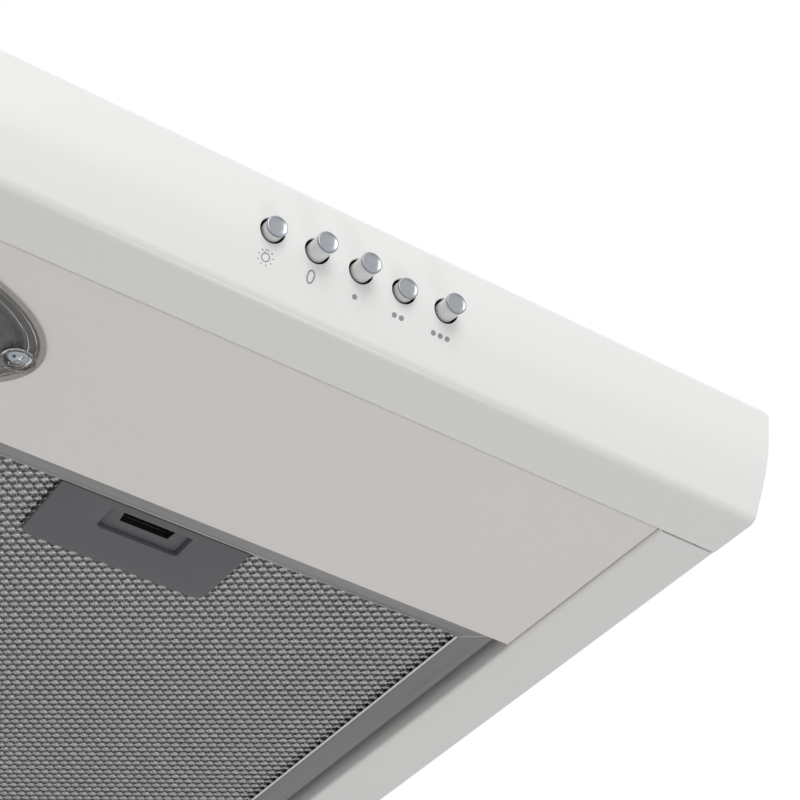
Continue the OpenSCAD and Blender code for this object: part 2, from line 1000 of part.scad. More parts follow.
module cable_gland() {
    color("black")
        translate([gland_at.x, gland_at.y, 0])
            difference() {
                union() {
                    translate([0, 0, top_in - 4])
                        cylinder(r = 7.9, h = sheet_t + 5);
                    translate([0, 0, hood_h])
                        cylinder(r = 11, h = 3);
                    translate([0, 0, top_in - 4])
                        cylinder(r = 10.5, h = 4);
                }
                translate([0, 0, top_in - 6])
                    cylinder(r = gland_r, h = sheet_t + 12);
            }
}

// Leads that run inside the canopy: switches to terminals, lamp to switches
module wiring() {
    to_terminals = [
        [136, -193.8, 26], [136, -184, 27], [145, -160, 36], [158, -135, 50], [172, -105, 66], [182, -70, 82],
        [188, -30, 98], [190, 15, 108], [188, 60, 113], [184, 100, 116], [178, 135, 117], [175, 155, 117],
        [178, 168, 116], [185, 173, 116], [191, 173, 116]
    ];
    to_lamp = [
        [-82.5, -155, 21], [-91, -151, 23], [-97, -135, 27], [-90, -120, 30], [-60, -112, 32], [0, -110, 32],
        [60, -112, 31], [95, -124, 29], [108, -145, 27], [112, -168, 26], [115, -180, 25], [116, -193.8, 25]
    ];
    color("dimgray") {
        tube(to_terminals, 2.6);
        tube(to_lamp, 2);
    }
}

// ---- Drawing ----

canopy();
front_panel();
lamp_panel();
color("silver") at_filter(1) filter_frame();  // filter_frame_right
color("silver") at_filter(-1) filter_frame();  // filter_frame_left
color("darkgray") at_filter(1) filter_mesh();  // filter_mesh_right
color("darkgray") at_filter(-1) filter_mesh();  // filter_mesh_left
color("dimgray") at_filter(1) latch_plate();  // latch_plate_right
color("dimgray") at_filter(-1) latch_plate();  // latch_plate_left
color("gray") at_filter(1) latch_slider();  // latch_slider_right
color("gray") at_filter(-1) latch_slider();  // latch_slider_left
color("silver") at_filter(1) latch_spring();  // latch_spring_right
color("silver") at_filter(-1) latch_spring();  // latch_spring_left
filter_rail();
lamp_cover();
lamp_cover_screw();
lamp_pan();
lamp_holder();
bulb();
button_cap(0);  // cap_light
button_cap(1);  // cap_off
button_cap(2);  // cap_speed_1
button_cap(3);  // cap_speed_2
button_cap(4);  // cap_speed_3
button_stem(0);  // stem_light
button_stem(1);  // stem_off
button_stem(2);  // stem_speed_1
button_stem(3);  // stem_speed_2
button_stem(4);  // stem_speed_3
switch_block();
switch_bracket();
blower_housing();
blower_base();
inlet_grille();
impeller();
rotor();
motor_can();
motor_stator();
motor_windings();
motor_bearings();
duct_collar();
flap_front();
flap_rear();
flap_pin();
rear_outlet_cover();
capacitor();
capacitor_clip();
terminal_box();
terminal_cover();
terminal_block();
cable_gland();
wiring();
panel_screws();
lamp_panel_screws();
blower_screws();
collar_screws();
motor_screws();
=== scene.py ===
"""Under cabinet range hood: its visible shapes and finishes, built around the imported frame.

Lengths are in millimetres up to the few functions that hand them to Blender.
"""

import json
import logging
import math
from collections.abc import Callable, Iterator, Sequence
from contextlib import contextmanager
from dataclasses import dataclass, field
from enum import Enum
from functools import cache

import bmesh
import bpy
from mathutils import Matrix, Vector

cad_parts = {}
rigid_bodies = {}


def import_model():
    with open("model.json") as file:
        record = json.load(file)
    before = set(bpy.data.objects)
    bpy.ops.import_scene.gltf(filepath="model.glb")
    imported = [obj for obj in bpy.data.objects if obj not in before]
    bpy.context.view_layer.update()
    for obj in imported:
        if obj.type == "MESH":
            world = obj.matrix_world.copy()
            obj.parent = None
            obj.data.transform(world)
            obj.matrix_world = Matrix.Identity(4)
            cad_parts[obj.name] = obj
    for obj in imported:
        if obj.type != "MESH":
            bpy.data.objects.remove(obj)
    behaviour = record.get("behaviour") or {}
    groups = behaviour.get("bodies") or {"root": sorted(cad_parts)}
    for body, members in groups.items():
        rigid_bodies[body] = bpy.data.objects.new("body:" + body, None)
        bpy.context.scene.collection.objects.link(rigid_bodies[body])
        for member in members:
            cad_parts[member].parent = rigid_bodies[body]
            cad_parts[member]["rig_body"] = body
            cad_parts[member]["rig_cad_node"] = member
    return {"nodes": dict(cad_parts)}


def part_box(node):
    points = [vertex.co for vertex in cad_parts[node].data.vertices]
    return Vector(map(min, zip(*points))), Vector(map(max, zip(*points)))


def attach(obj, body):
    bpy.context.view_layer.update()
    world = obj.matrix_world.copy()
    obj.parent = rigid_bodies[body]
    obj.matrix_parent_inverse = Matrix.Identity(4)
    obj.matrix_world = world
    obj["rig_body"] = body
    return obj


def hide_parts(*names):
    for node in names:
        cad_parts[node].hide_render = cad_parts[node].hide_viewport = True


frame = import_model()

LOG = logging.getLogger("hood")
MM = 0.001
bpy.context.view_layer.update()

Object = bpy.types.Object
Point = tuple[float, float, float] | Vector
Pair = tuple[float, float]
Colour = tuple[float, float, float]


# ---- Sizes taken from the frame ----


@dataclass(frozen=True)
class Box:
    """The box of one CAD node at rest, in millimetres."""

    low: Vector
    high: Vector

    @classmethod
    def of(cls, node: str) -> "Box":
        """The box of a named CAD node."""
        low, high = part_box(node)
        return cls(low / MM, high / MM)

    @property
    def middle(self) -> Vector:
        """The box's middle."""
        return (self.low + self.high) / 2


# ---- Modelling ----


class Element(Enum):
    """What a selection picks."""

    FACE = "FACE"
    EDGE = "EDGE"
    VERT = "VERT"


def metres(point: Point) -> Vector:
    """A place or a step in metres, from one in millimetres."""
    return Vector(point) * MM


def take(*pieces: Object) -> None:
    """Selects these pieces alone, the first one active."""
    bpy.ops.object.select_all(action="DESELECT")
    for piece in pieces:
        piece.select_set(True)
    bpy.context.view_layer.objects.active = pieces[0]


@contextmanager
def editing(piece: Object) -> Iterator[None]:
    """Holds a piece in edit mode."""
    take(piece)
    bpy.ops.object.mode_set(mode="EDIT")
    bpy.ops.mesh.select_mode(type="VERT")
    yield
    bpy.ops.object.mode_set(mode="OBJECT")


def pick(kind: Element, test: Callable[[Vector, Vector], bool]) -> int:
    """Selects the elements of the edited piece that pass a test.

    Args:
        kind: What to select.
        test: Called with an element's middle in millimetres, and its normal or, for an edge, its direction.

    Returns:
        How many elements were selected.
    """
    bpy.ops.mesh.select_mode(type=kind.value)
    bpy.ops.mesh.select_all(action="DESELECT")
    data = bpy.context.edit_object.data
    mesh = bmesh.from_edit_mesh(data)
    match kind:
        case Element.FACE:
            rows = [(f, f.calc_center_median(), f.normal) for f in mesh.faces]
        case Element.EDGE:
            rows = [(e, (e.verts[0].co + e.verts[1].co) / 2, (e.verts[1].co - e.verts[0].co).normalized())
                    for e in mesh.edges]
        case Element.VERT:
            rows = [(v, v.co, v.normal) for v in mesh.verts]
    chosen = [item for item, middle, way in rows if test(middle / MM, way)]
    for item in chosen:
        item.select_set(True)
    mesh.select_flush_mode()
    bmesh.update_edit_mesh(data)
    return len(chosen)


def extrude(step: Point) -> None:
    """Extrudes the selection by a step in millimetres."""
    bpy.ops.mesh.extrude_region_move(TRANSFORM_OT_translate={"value": metres(step)})


def shift(step: Point) -> None:
    """Moves the selection by a step in millimetres."""
    bpy.ops.transform.translate(value=metres(step))


def inset(width: float, depth: float = 0.0) -> None:
    """Insets the selected faces, moving the inner ones out along their normal by a depth."""
    bpy.ops.mesh.inset(thickness=width * MM, depth=depth * MM, use_even_offset=True)


def round_edges(radius: float, segments: int) -> None:
    """Rounds the selected edges."""
    bpy.ops.mesh.bevel(offset=radius * MM, segments=segments, affect="EDGES")


def settle(name: str) -> Object:
    """Names the active object, and moves its place into its mesh."""
    piece = bpy.context.active_object
    take(piece)
    bpy.ops.object.transform_apply(location=True, rotation=True, scale=True)
    piece.name = piece.data.name = name
    return piece


def block(name: str, low: Point, high: Point) -> Object:
    """A cuboid between two corners in millimetres."""
    bpy.ops.object.select_all(action="DESELECT")
    low, high = Vector(low), Vector(high)
    bpy.ops.mesh.primitive_cube_add(size=1, location=metres((low + high) / 2))
    bpy.context.active_object.scale = metres(high - low)
    return settle(name)


def bar(name: str, place: Matrix, radius: float, length: float, sides: int = 48) -> Object:
    """A round bar centred on a place and lying along its local Z."""
    bpy.ops.object.select_all(action="DESELECT")
    bpy.ops.mesh.primitive_cylinder_add(vertices=sides, radius=radius * MM, depth=length * MM)
    bpy.context.active_object.matrix_world = in_metres(place)
    return settle(name)


def disc(name: str, place: Matrix, radius: float, sides: int = 32) -> Object:
    """A flat filled disc that faces a place's local Z."""
    bpy.ops.object.select_all(action="DESELECT")
    bpy.ops.mesh.primitive_circle_add(vertices=sides, radius=radius * MM, fill_type="NGON")
    bpy.context.active_object.matrix_world = in_metres(place)
    return settle(name)


def in_metres(place: Matrix) -> Matrix:
    """The same place, with its translation in metres instead of millimetres."""
    out = place.copy()
    out.translation = place.translation * MM
    return out


def at(point: Point, turn_x: float = 0.0) -> Matrix:
    """A place in millimetres, turned about X by an angle in degrees."""
    return Matrix.Translation(Vector(point)) @ Matrix.Rotation(math.radians(turn_x), 4, "X")


def line(name: str, points: Sequence[Point], closed: bool = False, filled: bool = False) -> Object:
    """A chain of edges, drawn by extruding one point.

    Args:
        name: The new object's name.
        points: The corners in millimetres, in order.
        closed: Whether the last point joins the first.
        filled: Whether a closed chain gets a face.

    Returns:
        The new object.
    """
    bpy.ops.object.select_all(action="DESELECT")
    bpy.ops.mesh.primitive_plane_add(size=MM, location=metres(points[0]))
    piece = settle(name)
    corners = [Vector(p) for p in points] + ([Vector(points[0])] if closed else [])
    with editing(piece):
        bpy.ops.mesh.merge(type="CENTER")
        for here, there in zip(corners, corners[1:]):
            extrude(there - here)
        if closed:
            bpy.ops.mesh.select_all(action="SELECT")
            bpy.ops.mesh.remove_doubles(threshold=0.0005 * MM)
        if filled:
            bpy.ops.mesh.edge_face_add()
    return piece


def prism(name: str, outline: Sequence[Pair], x0: float, x1: float) -> Object:
    """A solid bar along X with an outline in the YZ plane."""
    piece = line(name, [(x0, y, z) for y, z in outline], closed=True, filled=True)
    with editing(piece):
        bpy.ops.mesh.select_all(action="SELECT")
        extrude((x1 - x0, 0, 0))
    clean(piece)
    return piece


def strip(name: str, path: Sequence[Pair], x0: float, x1: float) -> Object:
    """An open sheet along X whose YZ path isn't closed."""
    piece = line(name, [(x0, y, z) for y, z in path])
    with editing(piece):
        bpy.ops.mesh.select_all(action="SELECT")
        extrude((x1 - x0, 0, 0))
    return piece


def spun(name: str, outline: Sequence[Pair], place: Matrix, steps: int = 48, closed: bool = False) -> Object:
    """A turned solid: an outline of radius and height, spun about a place's local Z.

    Args:
        name: The new object's name.
        outline: Radius and height pairs in millimetres.
        place: Where the turning axis stands.
        steps: How many steps make the full turn.
        closed: Whether the outline is a closed ring away from the axis.

    Returns:
        The new object.
    """
    piece = line(name, [(r, 0, h) for r, h in outline], closed=closed)
    with editing(piece):
        bpy.ops.mesh.select_all(action="SELECT")
        bpy.ops.mesh.spin(steps=steps, angle=math.tau, center=(0, 0, 0), axis=(0, 0, 1))
    clean(piece)
    piece.matrix_world = in_metres(place)
    take(piece)
    return settle(name)


def clean(piece: Object, gap: float = 0.001) -> None:
    """Merges a piece's doubles, and turns its faces outwards."""
    with editing(piece):
        bpy.ops.mesh.select_all(action="SELECT")
        bpy.ops.mesh.remove_doubles(threshold=gap * MM)
        bpy.ops.mesh.normals_make_consistent(inside=False)


def modify(piece: Object, kind: str, **settings: object) -> None:
    """Adds a modifier to a piece, and applies it."""
    take(piece)
    modifier = piece.modifiers.new(kind.title(), kind)
    for key, value in settings.items():
        setattr(modifier, key, value)
    bpy.ops.object.modifier_apply(modifier=modifier.name)


def thicken(piece: Object, wall: float, side: float = -1.0) -> None:
    """Gives a sheet its wall, inwards of its faces unless side says otherwise."""
    modify(piece, "SOLIDIFY", thickness=wall * MM, offset=side, use_even_offset=True)


def cut(piece: Object, *tools: Object) -> None:
    """Cuts tools out of a piece, and removes them."""
    for tool in tools:
        modify(piece, "BOOLEAN", object=tool, operation="DIFFERENCE", solver="EXACT")
        bpy.data.objects.remove(tool)


def repeat(piece: Object, count: int, step: Point, gap: float = 0.0) -> None:
    """Repeats a piece along a step, merging neighbours that meet within a gap."""
    modify(piece, "ARRAY", count=count, use_relative_offset=False, use_constant_offset=True,
           constant_offset_displace=metres(step), use_merge_vertices=gap > 0, merge_threshold=gap * MM)


def joined(name: str, pieces: Sequence[Object]) -> Object:
    """Joins pieces into the first one."""
    take(*pieces)
    bpy.ops.object.join()
    return settle(name)


def copy_of(piece: Object, name: str, step: Point = (0, 0, 0)) -> Object:
    """A copy with a mesh of its own, moved by a step in millimetres."""
    take(piece)
    bpy.ops.object.duplicate(linked=False)
    bpy.context.active_object.location += metres(step)
    return settle(name)


def smooth(piece: Object, degrees: float = 35.0) -> Object:
    """Smooths the shading of edges flatter than an angle."""
    take(piece)
    bpy.ops.object.shade_smooth_by_angle(angle=math.radians(degrees))
    return piece


def refined(node: str, edge: float = 0.25, segments: int = 2) -> Object:
    """A copy of a CAD node with its flat faces joined up and its sharp edges rounded.

    Args:
        node: The CAD node.
        edge: Radius of the rounded edges.
        segments: Steps in each rounded edge.

    Returns:
        The new object.
    """
    source = frame["nodes"][node]
    piece = source.copy()
    piece.data = source.data.copy()
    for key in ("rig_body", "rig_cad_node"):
        del piece[key]
    piece.parent = None
    piece.matrix_world = Matrix.Identity(4)
    bpy.context.scene.collection.objects.link(piece)
    piece.name = piece.data.name = f"{node}_piece"
    take(piece)
    bpy.ops.mesh.customdata_custom_splitnormals_clear()
    clean(piece)
    with editing(piece):
        bpy.ops.mesh.select_all(action="SELECT")
        bpy.ops.mesh.dissolve_limited(angle_limit=math.radians(0.4))
    if edge:
        modify(piece, "BEVEL", width=edge * MM, segments=segments, limit_method="ANGLE",
               angle_limit=math.radians(40), use_clamp_overlap=True)
    return smooth(piece)


def rounded(corners: Sequence[tuple[float, float, float]]) -> list[Pair]:
    """A closed outline whose corners are rounded.

    Args:
        corners: Each corner's two coordinates and its radius, 0 for a sharp one.

    Returns:
        The outline's points.
    """
    out: list[Pair] = []
    for i, (a, b, radius) in enumerate(corners):
        here = Vector((a, b))
        if not radius:
            out.append((a, b))
            continue
        back = (Vector(corners[i - 1][:2]) - here).normalized()
        onward = (Vector(corners[(i + 1) % len(corners)][:2]) - here).normalized()
        half = back.angle(onward) / 2
        middle = here + (back + onward).normalized() * radius / math.sin(half)
        reach = radius / math.tan(half)
        spoke = here + back * reach - middle
        turn = (here + onward * reach - middle).angle_signed(spoke)
        steps = max(9, round(abs(turn) / math.radians(11)))
        for k in range(steps + 1):
            point = middle + Matrix.Rotation(turn * k / steps, 2) @ spoke
            out.append((point.x, point.y))
    return out


# ---- Shader sheets ----


@dataclass(frozen=True)
class Sock:
    """A shader value that can be reckoned with."""

    sheet: "Sheet"
    socket: bpy.types.NodeSocket

    def _reckon(self, operation: str, first: object, second: object) -> "Sock":
        """Adds one Math node."""
        return self.sheet.node("ShaderNodeMath", {"operation": operation}, {0: first, 1: second})

    def __add__(self, other: "Sock | float") -> "Sock":
        """The sum."""
        return self._reckon("ADD", self, other)

    __radd__ = __add__

    def __sub__(self, other: "Sock | float") -> "Sock":
        """The difference."""
        return self._reckon("SUBTRACT", self, other)

    def __rsub__(self, other: float) -> "Sock":
        """The difference, the other way round."""
        return self._reckon("SUBTRACT", other, self)

    def __mul__(self, other: "Sock | float") -> "Sock":
        """The product."""
        return self._reckon("MULTIPLY", self, other)

    __rmul__ = __mul__


class Sheet:
    """One material's nodes."""

    def __init__(self, name: str) -> None:
        """Starts an empty material."""
        self.material = bpy.data.materials.new(name)
        self.material.use_nodes = True
        self.nodes = self.material.node_tree.nodes
        self.links = self.material.node_tree.links
        self.nodes.clear()

    def node(self, kind: str, settings: dict[str, object], values: dict[str | int, object],
             out: str | int = 0) -> Sock:
        """Adds any node.

        Args:
            kind: The node's type.
            settings: Its own settings, set first; "stops" are a ramp's places and colours.
            values: Its inputs' constants or links.
            out: The output that is handed back.

        Returns:
            The chosen output.
        """
        made = self.nodes.new(kind)
        for key, value in settings.items():
            if key == "stops":
                self._set_stops(made.color_ramp.elements, value)
            else:
                setattr(made, key, value)
        for key, value in values.items():
            if isinstance(value, Sock):
                self.links.new(value.socket, made.inputs[key])
            elif isinstance(value, tuple) and len(value) == 3 and made.inputs[key].type == "RGBA":
                made.inputs[key].default_value = (*value, 1.0)
            else:
                made.inputs[key].default_value = value
        return Sock(self, made.outputs[out]) if made.outputs else None

    @staticmethod
    def _set_stops(elements: bpy.types.ColorRampElements, stops: Sequence[tuple[float, float]]) -> None:
        """Sets a ramp's grey stops."""
        while len(elements) < len(stops):
            elements.new(1.0)
        for element, (place, grey) in zip(elements, stops):
            element.position = place
            element.color = (grey, grey, grey, 1.0)

    def point(self, stretch: Colour = (1.0, 1.0, 1.0)) -> Sock:
        """The surface's own place, stretched along each axis."""
        coordinate = self.node("ShaderNodeTexCoord", {}, {}, out="Object")
        return self.node("ShaderNodeMapping", {}, {"Vector": coordinate, "Scale": stretch})

    def noise(self, point: Sock, scale: float, detail: float = 2.0, roughness: float = 0.5) -> Sock:
        """Cloudy noise from 0 to 1."""
        return self.node("ShaderNodeTexNoise", {},
                         {"Vector": point, "Scale": scale, "Detail": detail, "Roughness": roughness})

    def ramp(self, value: Sock, *stops: tuple[float, float]) -> Sock:
        """A grey ramp over a value."""
        return self.node("ShaderNodeValToRGB", {"stops": stops}, {"Fac": value})

    def blend(self, first: Colour | Sock, second: Colour | Sock, share: Sock) -> Sock:
        """Mixes two colours by a share."""
        return self.node("ShaderNodeMix", {"data_type": "RGBA"}, {0: share, 6: first, 7: second}, out=2)

    def tones(self, colour: Colour, dark: float, light: float, share: Sock) -> Sock:
        """A colour that drifts between a darker and a lighter factor of itself."""
        return self.blend(shade(colour, dark), shade(colour, light), share)

    def bump(self, height: Sock, strength: float, depth: float) -> Sock:
        """A bumped normal, from a height and its depth in millimetres."""
        values = {"Height": height, "Strength": strength, "Distance": depth * MM}
        return self.node("ShaderNodeBump", {}, values)

    def surface(self, **values: object) -> bpy.types.Material:
        """Ends the sheet with a Principled surface, whose sockets are named with underscores."""
        inputs = {key.replace("_", " "): value for key, value in values.items()}
        shader = self.node("ShaderNodeBsdfPrincipled", {}, inputs)
        self.node("ShaderNodeOutputMaterial", {}, {"Surface": shader})
        return self.material


def paint(red: float, green: float, blue: float) -> Colour:
    """A linear colour from 8-bit display values."""
    def linear(value: float) -> float:
        """One channel."""
        share = value / 255
        return share / 12.92 if share <= 0.04045 else ((share + 0.055) / 1.055) ** 2.4
    return linear(red), linear(green), linear(blue)


def shade(colour: Colour, factor: float) -> Colour:
    """A colour made lighter or darker."""
    return tuple(min(1.0, c * factor) for c in colour)


# ---- Finishes ----


class Grain(Enum):
    """Which way a brushed surface is brushed, as the stretch of its streaks."""

    ALONG_X = (9.0, 900.0, 900.0)
    ALONG_Y = (900.0, 9.0, 900.0)
    ALONG_Z = (900.0, 900.0, 9.0)


@dataclass(frozen=True)
class Finish:
    """What every finish has."""

    name: str
    colour: Colour
    roughness: float

    def make(self) -> bpy.types.Material:
        """Makes the material."""
        raise NotImplementedError


@dataclass(frozen=True)
class Enamel(Finish):
    """Baked paint with a faint orange peel."""

    peel: float = 0.05
    drift: float = 0.02

    def make(self) -> bpy.types.Material:
        """Makes the paint: slow drift of tone, fine peel, and a coat."""
        sheet = Sheet(self.name)
        point = sheet.point()
        drift = sheet.noise(point, 6.0, 3.0)
        film = sheet.noise(point, 70.0, 5.0, 0.65)
        peel = sheet.noise(point, 620.0, 2.0)
        return sheet.surface(
            Base_Color=sheet.tones(self.colour, 1 - self.drift, 1 + self.drift, drift),
            Roughness=self.roughness + (film - 0.5) * 0.10,
            IOR=1.47,
            Coat_Weight=0.25,
            Coat_Roughness=0.22,
            Normal=sheet.bump(peel, self.peel, 0.12),
        )


@dataclass(frozen=True)
class Brushed(Finish):
    """Rolled or brushed metal, with streaks along one axis."""

    grain: Grain = Grain.ALONG_X
    streak: float = 0.12

    def make(self) -> bpy.types.Material:
        """Makes the metal: fine streaks in its tone, its roughness and its surface."""
        sheet = Sheet(self.name)
        streaks = sheet.noise(sheet.point(self.grain.value), 1.0, 3.0, 0.6)
        cloud = sheet.noise(sheet.point(), 14.0, 4.0)
        tone = sheet.ramp(streaks * 0.7 + cloud * 0.3, (0.3, 0.0), (0.7, 1.0))
        return sheet.surface(
            Base_Color=sheet.tones(self.colour, 1 - self.streak, 1 + self.streak, tone),
            Metallic=1.0,
            Roughness=self.roughness + (streaks - 0.5) * 0.16,
            Normal=sheet.bump(streaks, 0.10, 0.02),
        )


@dataclass(frozen=True)
class Expanded(Finish):
    """Slit and stretched aluminium, torn a little rough at its strands."""

    def make(self) -> bpy.types.Material:
        """Makes the metal: tone changing from strand to strand, and a dull film in patches."""
        sheet = Sheet(self.name)
        point = sheet.point()
        strand = sheet.noise(point, 260.0, 2.0)
        film = sheet.noise(point, 11.0, 4.0, 0.6)
        return sheet.surface(
            Base_Color=sheet.tones(self.colour, 0.8, 1.12, strand),
            Metallic=1.0,
            Roughness=self.roughness + (film - 0.5) * 0.18 + (strand - 0.5) * 0.1,
            Normal=sheet.bump(sheet.noise(point, 1500.0, 2.0), 0.12, 0.05),
        )


@dataclass(frozen=True)
class Moulded(Finish):
    """Moulded plastic with a fine spark-eroded grain."""

    grain: float = 0.12

    def make(self) -> bpy.types.Material:
        """Makes the plastic: grain in the surface, and faint flow clouds in the tone."""
        sheet = Sheet(self.name)
        point = sheet.point()
        flow = sheet.noise(point, 22.0, 4.0, 0.6)
        grain = sheet.noise(point, 2100.0, 2.0)
        return sheet.surface(
            Base_Color=sheet.tones(self.colour, 0.95, 1.05, flow),
            Roughness=self.roughness + (flow - 0.5) * 0.12,
            IOR=1.5,
            Normal=sheet.bump(grain, self.grain, 0.05),
        )


@dataclass(frozen=True)
class Chrome(Finish):
    """Bright plating with a trace of haze."""

    def make(self) -> bpy.types.Material:
        """Makes the plating: haze in patches, and fine polishing waves."""
        sheet = Sheet(self.name)
        point = sheet.point()
        haze = sheet.noise(point, 180.0, 4.0, 0.6)
        return sheet.surface(
            Base_Color=sheet.tones(self.colour, 0.94, 1.06, haze),
            Metallic=1.0,
            Roughness=self.roughness + haze * 0.08,
            Normal=sheet.bump(sheet.noise(point, 420.0, 1.0), 0.04, 0.04),
        )


@dataclass(frozen=True)
class Clear(Finish):
    """Clear moulded plastic, slightly smoked."""

    def make(self) -> bpy.types.Material:
        """Makes the plastic: it lets light through, with fine flow marks."""
        sheet = Sheet(self.name)
        point = sheet.point()
        flow = sheet.noise(point, 60.0, 3.0)
        return sheet.surface(
            Base_Color=sheet.blend(shade(self.colour, 0.93), self.colour, flow),
            Roughness=self.roughness + flow * 0.05,
            IOR=1.49,
            Transmission_Weight=0.92,
            Normal=sheet.bump(sheet.noise(point, 300.0, 2.0), 0.05, 0.05),
        )


@dataclass(frozen=True)
class Zinc(Finish):
    """Galvanised or plated steel with flat crystals in its tone."""

    crystal: float = 240.0

    def make(self) -> bpy.types.Material:
        """Makes the steel: crystals of slightly different tone and roughness."""
        sheet = Sheet(self.name)
        point = sheet.point()
        values = {"Vector": point, "Scale": self.crystal}
        crystals = sheet.node("ShaderNodeTexVoronoi", {}, values, out="Color")
        level = sheet.node("ShaderNodeRGBToBW", {}, {"Color": crystals})
        cloud = sheet.noise(point, 30.0, 4.0)
        return sheet.surface(
            Base_Color=sheet.tones(self.colour, 0.85, 1.1, level * 0.6 + cloud * 0.4),
            Metallic=1.0,
            Roughness=self.roughness + (level - 0.5) * 0.14,
            Normal=sheet.bump(cloud, 0.08, 0.05),
        )


@dataclass(frozen=True)
class Banded(Finish):
    """Stacked sheets or wound wire: bands along Z."""

    pitch: float = 0.5
    metallic: float = 1.0

    def make(self) -> bpy.types.Material:
        """Makes the stack: a wave for its layers, and noise between them."""
        sheet = Sheet(self.name)
        point = sheet.point()
        layers = sheet.node("ShaderNodeTexWave", {"bands_direction": "Z"},
                            {"Vector": point, "Scale": 0.31 / (self.pitch * MM), "Distortion": 0.4}, out=1)
        stain = sheet.noise(point, 90.0, 4.0)
        return sheet.surface(
            Base_Color=sheet.blend(shade(self.colour, 0.55), self.colour, layers * 0.7 + stain * 0.3),
            Metallic=self.metallic,
            Roughness=self.roughness + (stain - 0.5) * 0.2,
            Normal=sheet.bump(layers, 0.4, 0.1),
        )


@cache
def material_of(finish: Finish) -> bpy.types.Material:
    """The one material of a finish."""
    return finish.make()


FRONT_ENAMEL = Enamel("front_enamel", paint(238, 238, 236), 0.34)
WHITE_ENAMEL = Enamel("white_enamel", paint(236, 235, 233), 0.36)
LAMP_ENAMEL = Enamel("lamp_panel_enamel", paint(234, 230, 226), 0.42)
MARK_INK = Enamel("mark_ink", paint(146, 148, 147), 0.5, peel=0.02)
STEM_PLASTIC = Moulded("stem_plastic", paint(224, 225, 224), 0.3)
BUTTON_CHROME = Chrome("button_chrome", paint(158, 162, 167), 0.2)
CHROME_SCREW = Chrome("chrome_screw", paint(196, 202, 208), 0.10)
FRAME_ALONG = Brushed("filter_aluminium", paint(166, 166, 166), 0.36)
FRAME_ACROSS = Brushed("filter_aluminium_across", paint(154, 154, 155), 0.36, Grain.ALONG_Y)
# Near-white aluminium: a painted highlight on the rolled hems and the mitre lines.
FRAME_HIGHLIGHT = Brushed("filter_aluminium_edge", paint(250, 250, 250), 0.25, Grain.ALONG_Y, 0.04)
MESH_FRONT = Expanded("mesh_aluminium", paint(236, 237, 239), 0.36)
# Paler and glossier copy of the mesh aluminium for the second layer; the paler colour is a painted highlight
# for the bright dots in the openings.
MESH_SECOND_LIT = Expanded("mesh_aluminium_painted_highlight", paint(250, 250, 251), 0.2)
# Darker copy of the mesh aluminium on a solid core slab: it stands for the real inner layers, and its
# darkness is painted shade.
MESH_CORE_SHADED = Expanded("mesh_core_painted_shade", paint(150, 151, 153), 0.6)
LATCH_PLASTIC = Moulded("latch_plastic", paint(98, 99, 102), 0.46)
# Near-black plastic: painted shade for the walls deep in the latch slot.
LATCH_SLOT_SHADE = Moulded("slider_plastic", paint(28, 28, 30), 0.5)
CLEAR_COVER = Clear("clear_cover", paint(236, 234, 231), 0.04)
# Zinc steel darkened to paint the shade inside the lamp pan behind the cover.
PAN_STEEL_SHADED = Zinc("lamp_pan_painted_shade", paint(92, 93, 94), 0.5)
ZINC_STEEL = Zinc("zinc_steel", paint(178, 182, 186), 0.42)
ZINC_SCREW = Zinc("zinc_screw", paint(190, 192, 194), 0.32, 700.0)
SPRING_STEEL = Brushed("spring_steel", paint(168, 170, 174), 0.3)
CERAMIC = Enamel("ceramic_white", paint(228, 224, 214), 0.3)
BULB_GLASS = Enamel("bulb_glass", paint(240, 240, 238), 0.18, peel=0.01)
BLACK_PLASTIC = Moulded("black_plastic", paint(34, 34, 36), 0.5)
BLOWER_PLASTIC = Moulded("blower_plastic", paint(70, 73, 78), 0.5)
GRILLE_PLASTIC = Moulded("grille_plastic", paint(56, 58, 62), 0.5)
FAN_PLASTIC = Moulded("fan_plastic", paint(92, 98, 106), 0.45)
COLLAR_PLASTIC = Moulded("collar_plastic", paint(52, 53, 56), 0.5)
FLAP_PLASTIC = Moulded("flap_plastic", paint(92, 94, 97), 0.48)
BOX_PLASTIC = Moulded("box_plastic", paint(208, 208, 204), 0.5)
BLOCK_PLASTIC = Moulded("block_plastic", paint(222, 216, 200), 0.45)
CAPACITOR_PLASTIC = Moulded("capacitor_plastic", paint(225, 225, 222), 0.35)
GLAND_RUBBER = Moulded("gland_rubber", paint(30, 30, 31), 0.7, grain=0.2)
WIRE_SHEATH = Moulded("wire_sheath", paint(196, 196, 192), 0.45)
MOTOR_STEEL = Brushed("motor_steel", paint(150, 153, 157), 0.36, Grain.ALONG_Z)
LAMINATION = Banded("lamination_steel", paint(120, 122, 126), 0.45, 0.5)
COPPER = Banded("copper_wire", paint(176, 98, 52), 0.3, 0.8)
BRONZE = Brushed("sintered_bronze", paint(150, 118, 70), 0.5, Grain.ALONG_Z)


def hand_over(piece: Object, body: str, finish: Finish, *nodes: str, slot: str = "") -> Object:
    """Dresses a piece, puts it on its body, and hides the CAD nodes that it stands for.

    Args:
        piece: The finished piece.
        body: The CAD body that it rides on.
        finish: Its finish, unless it already has materials of its own.
        nodes: The CAD nodes that it stands for.
        slot: Not used; the record's material slot, where the finish isn't named for it.

    Returns:
        The same piece.
    """
    if len(piece.data.materials) < 2:
        piece.data.materials.clear()
        piece.data.materials.append(material_of(finish))
    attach(piece, body)
    if nodes:
        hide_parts(*nodes)
    LOG.info("%s: %d faces, rides on %s", piece.name, len(piece.data.polygons), body)
    return piece


# ---- Outer sheet metal ----


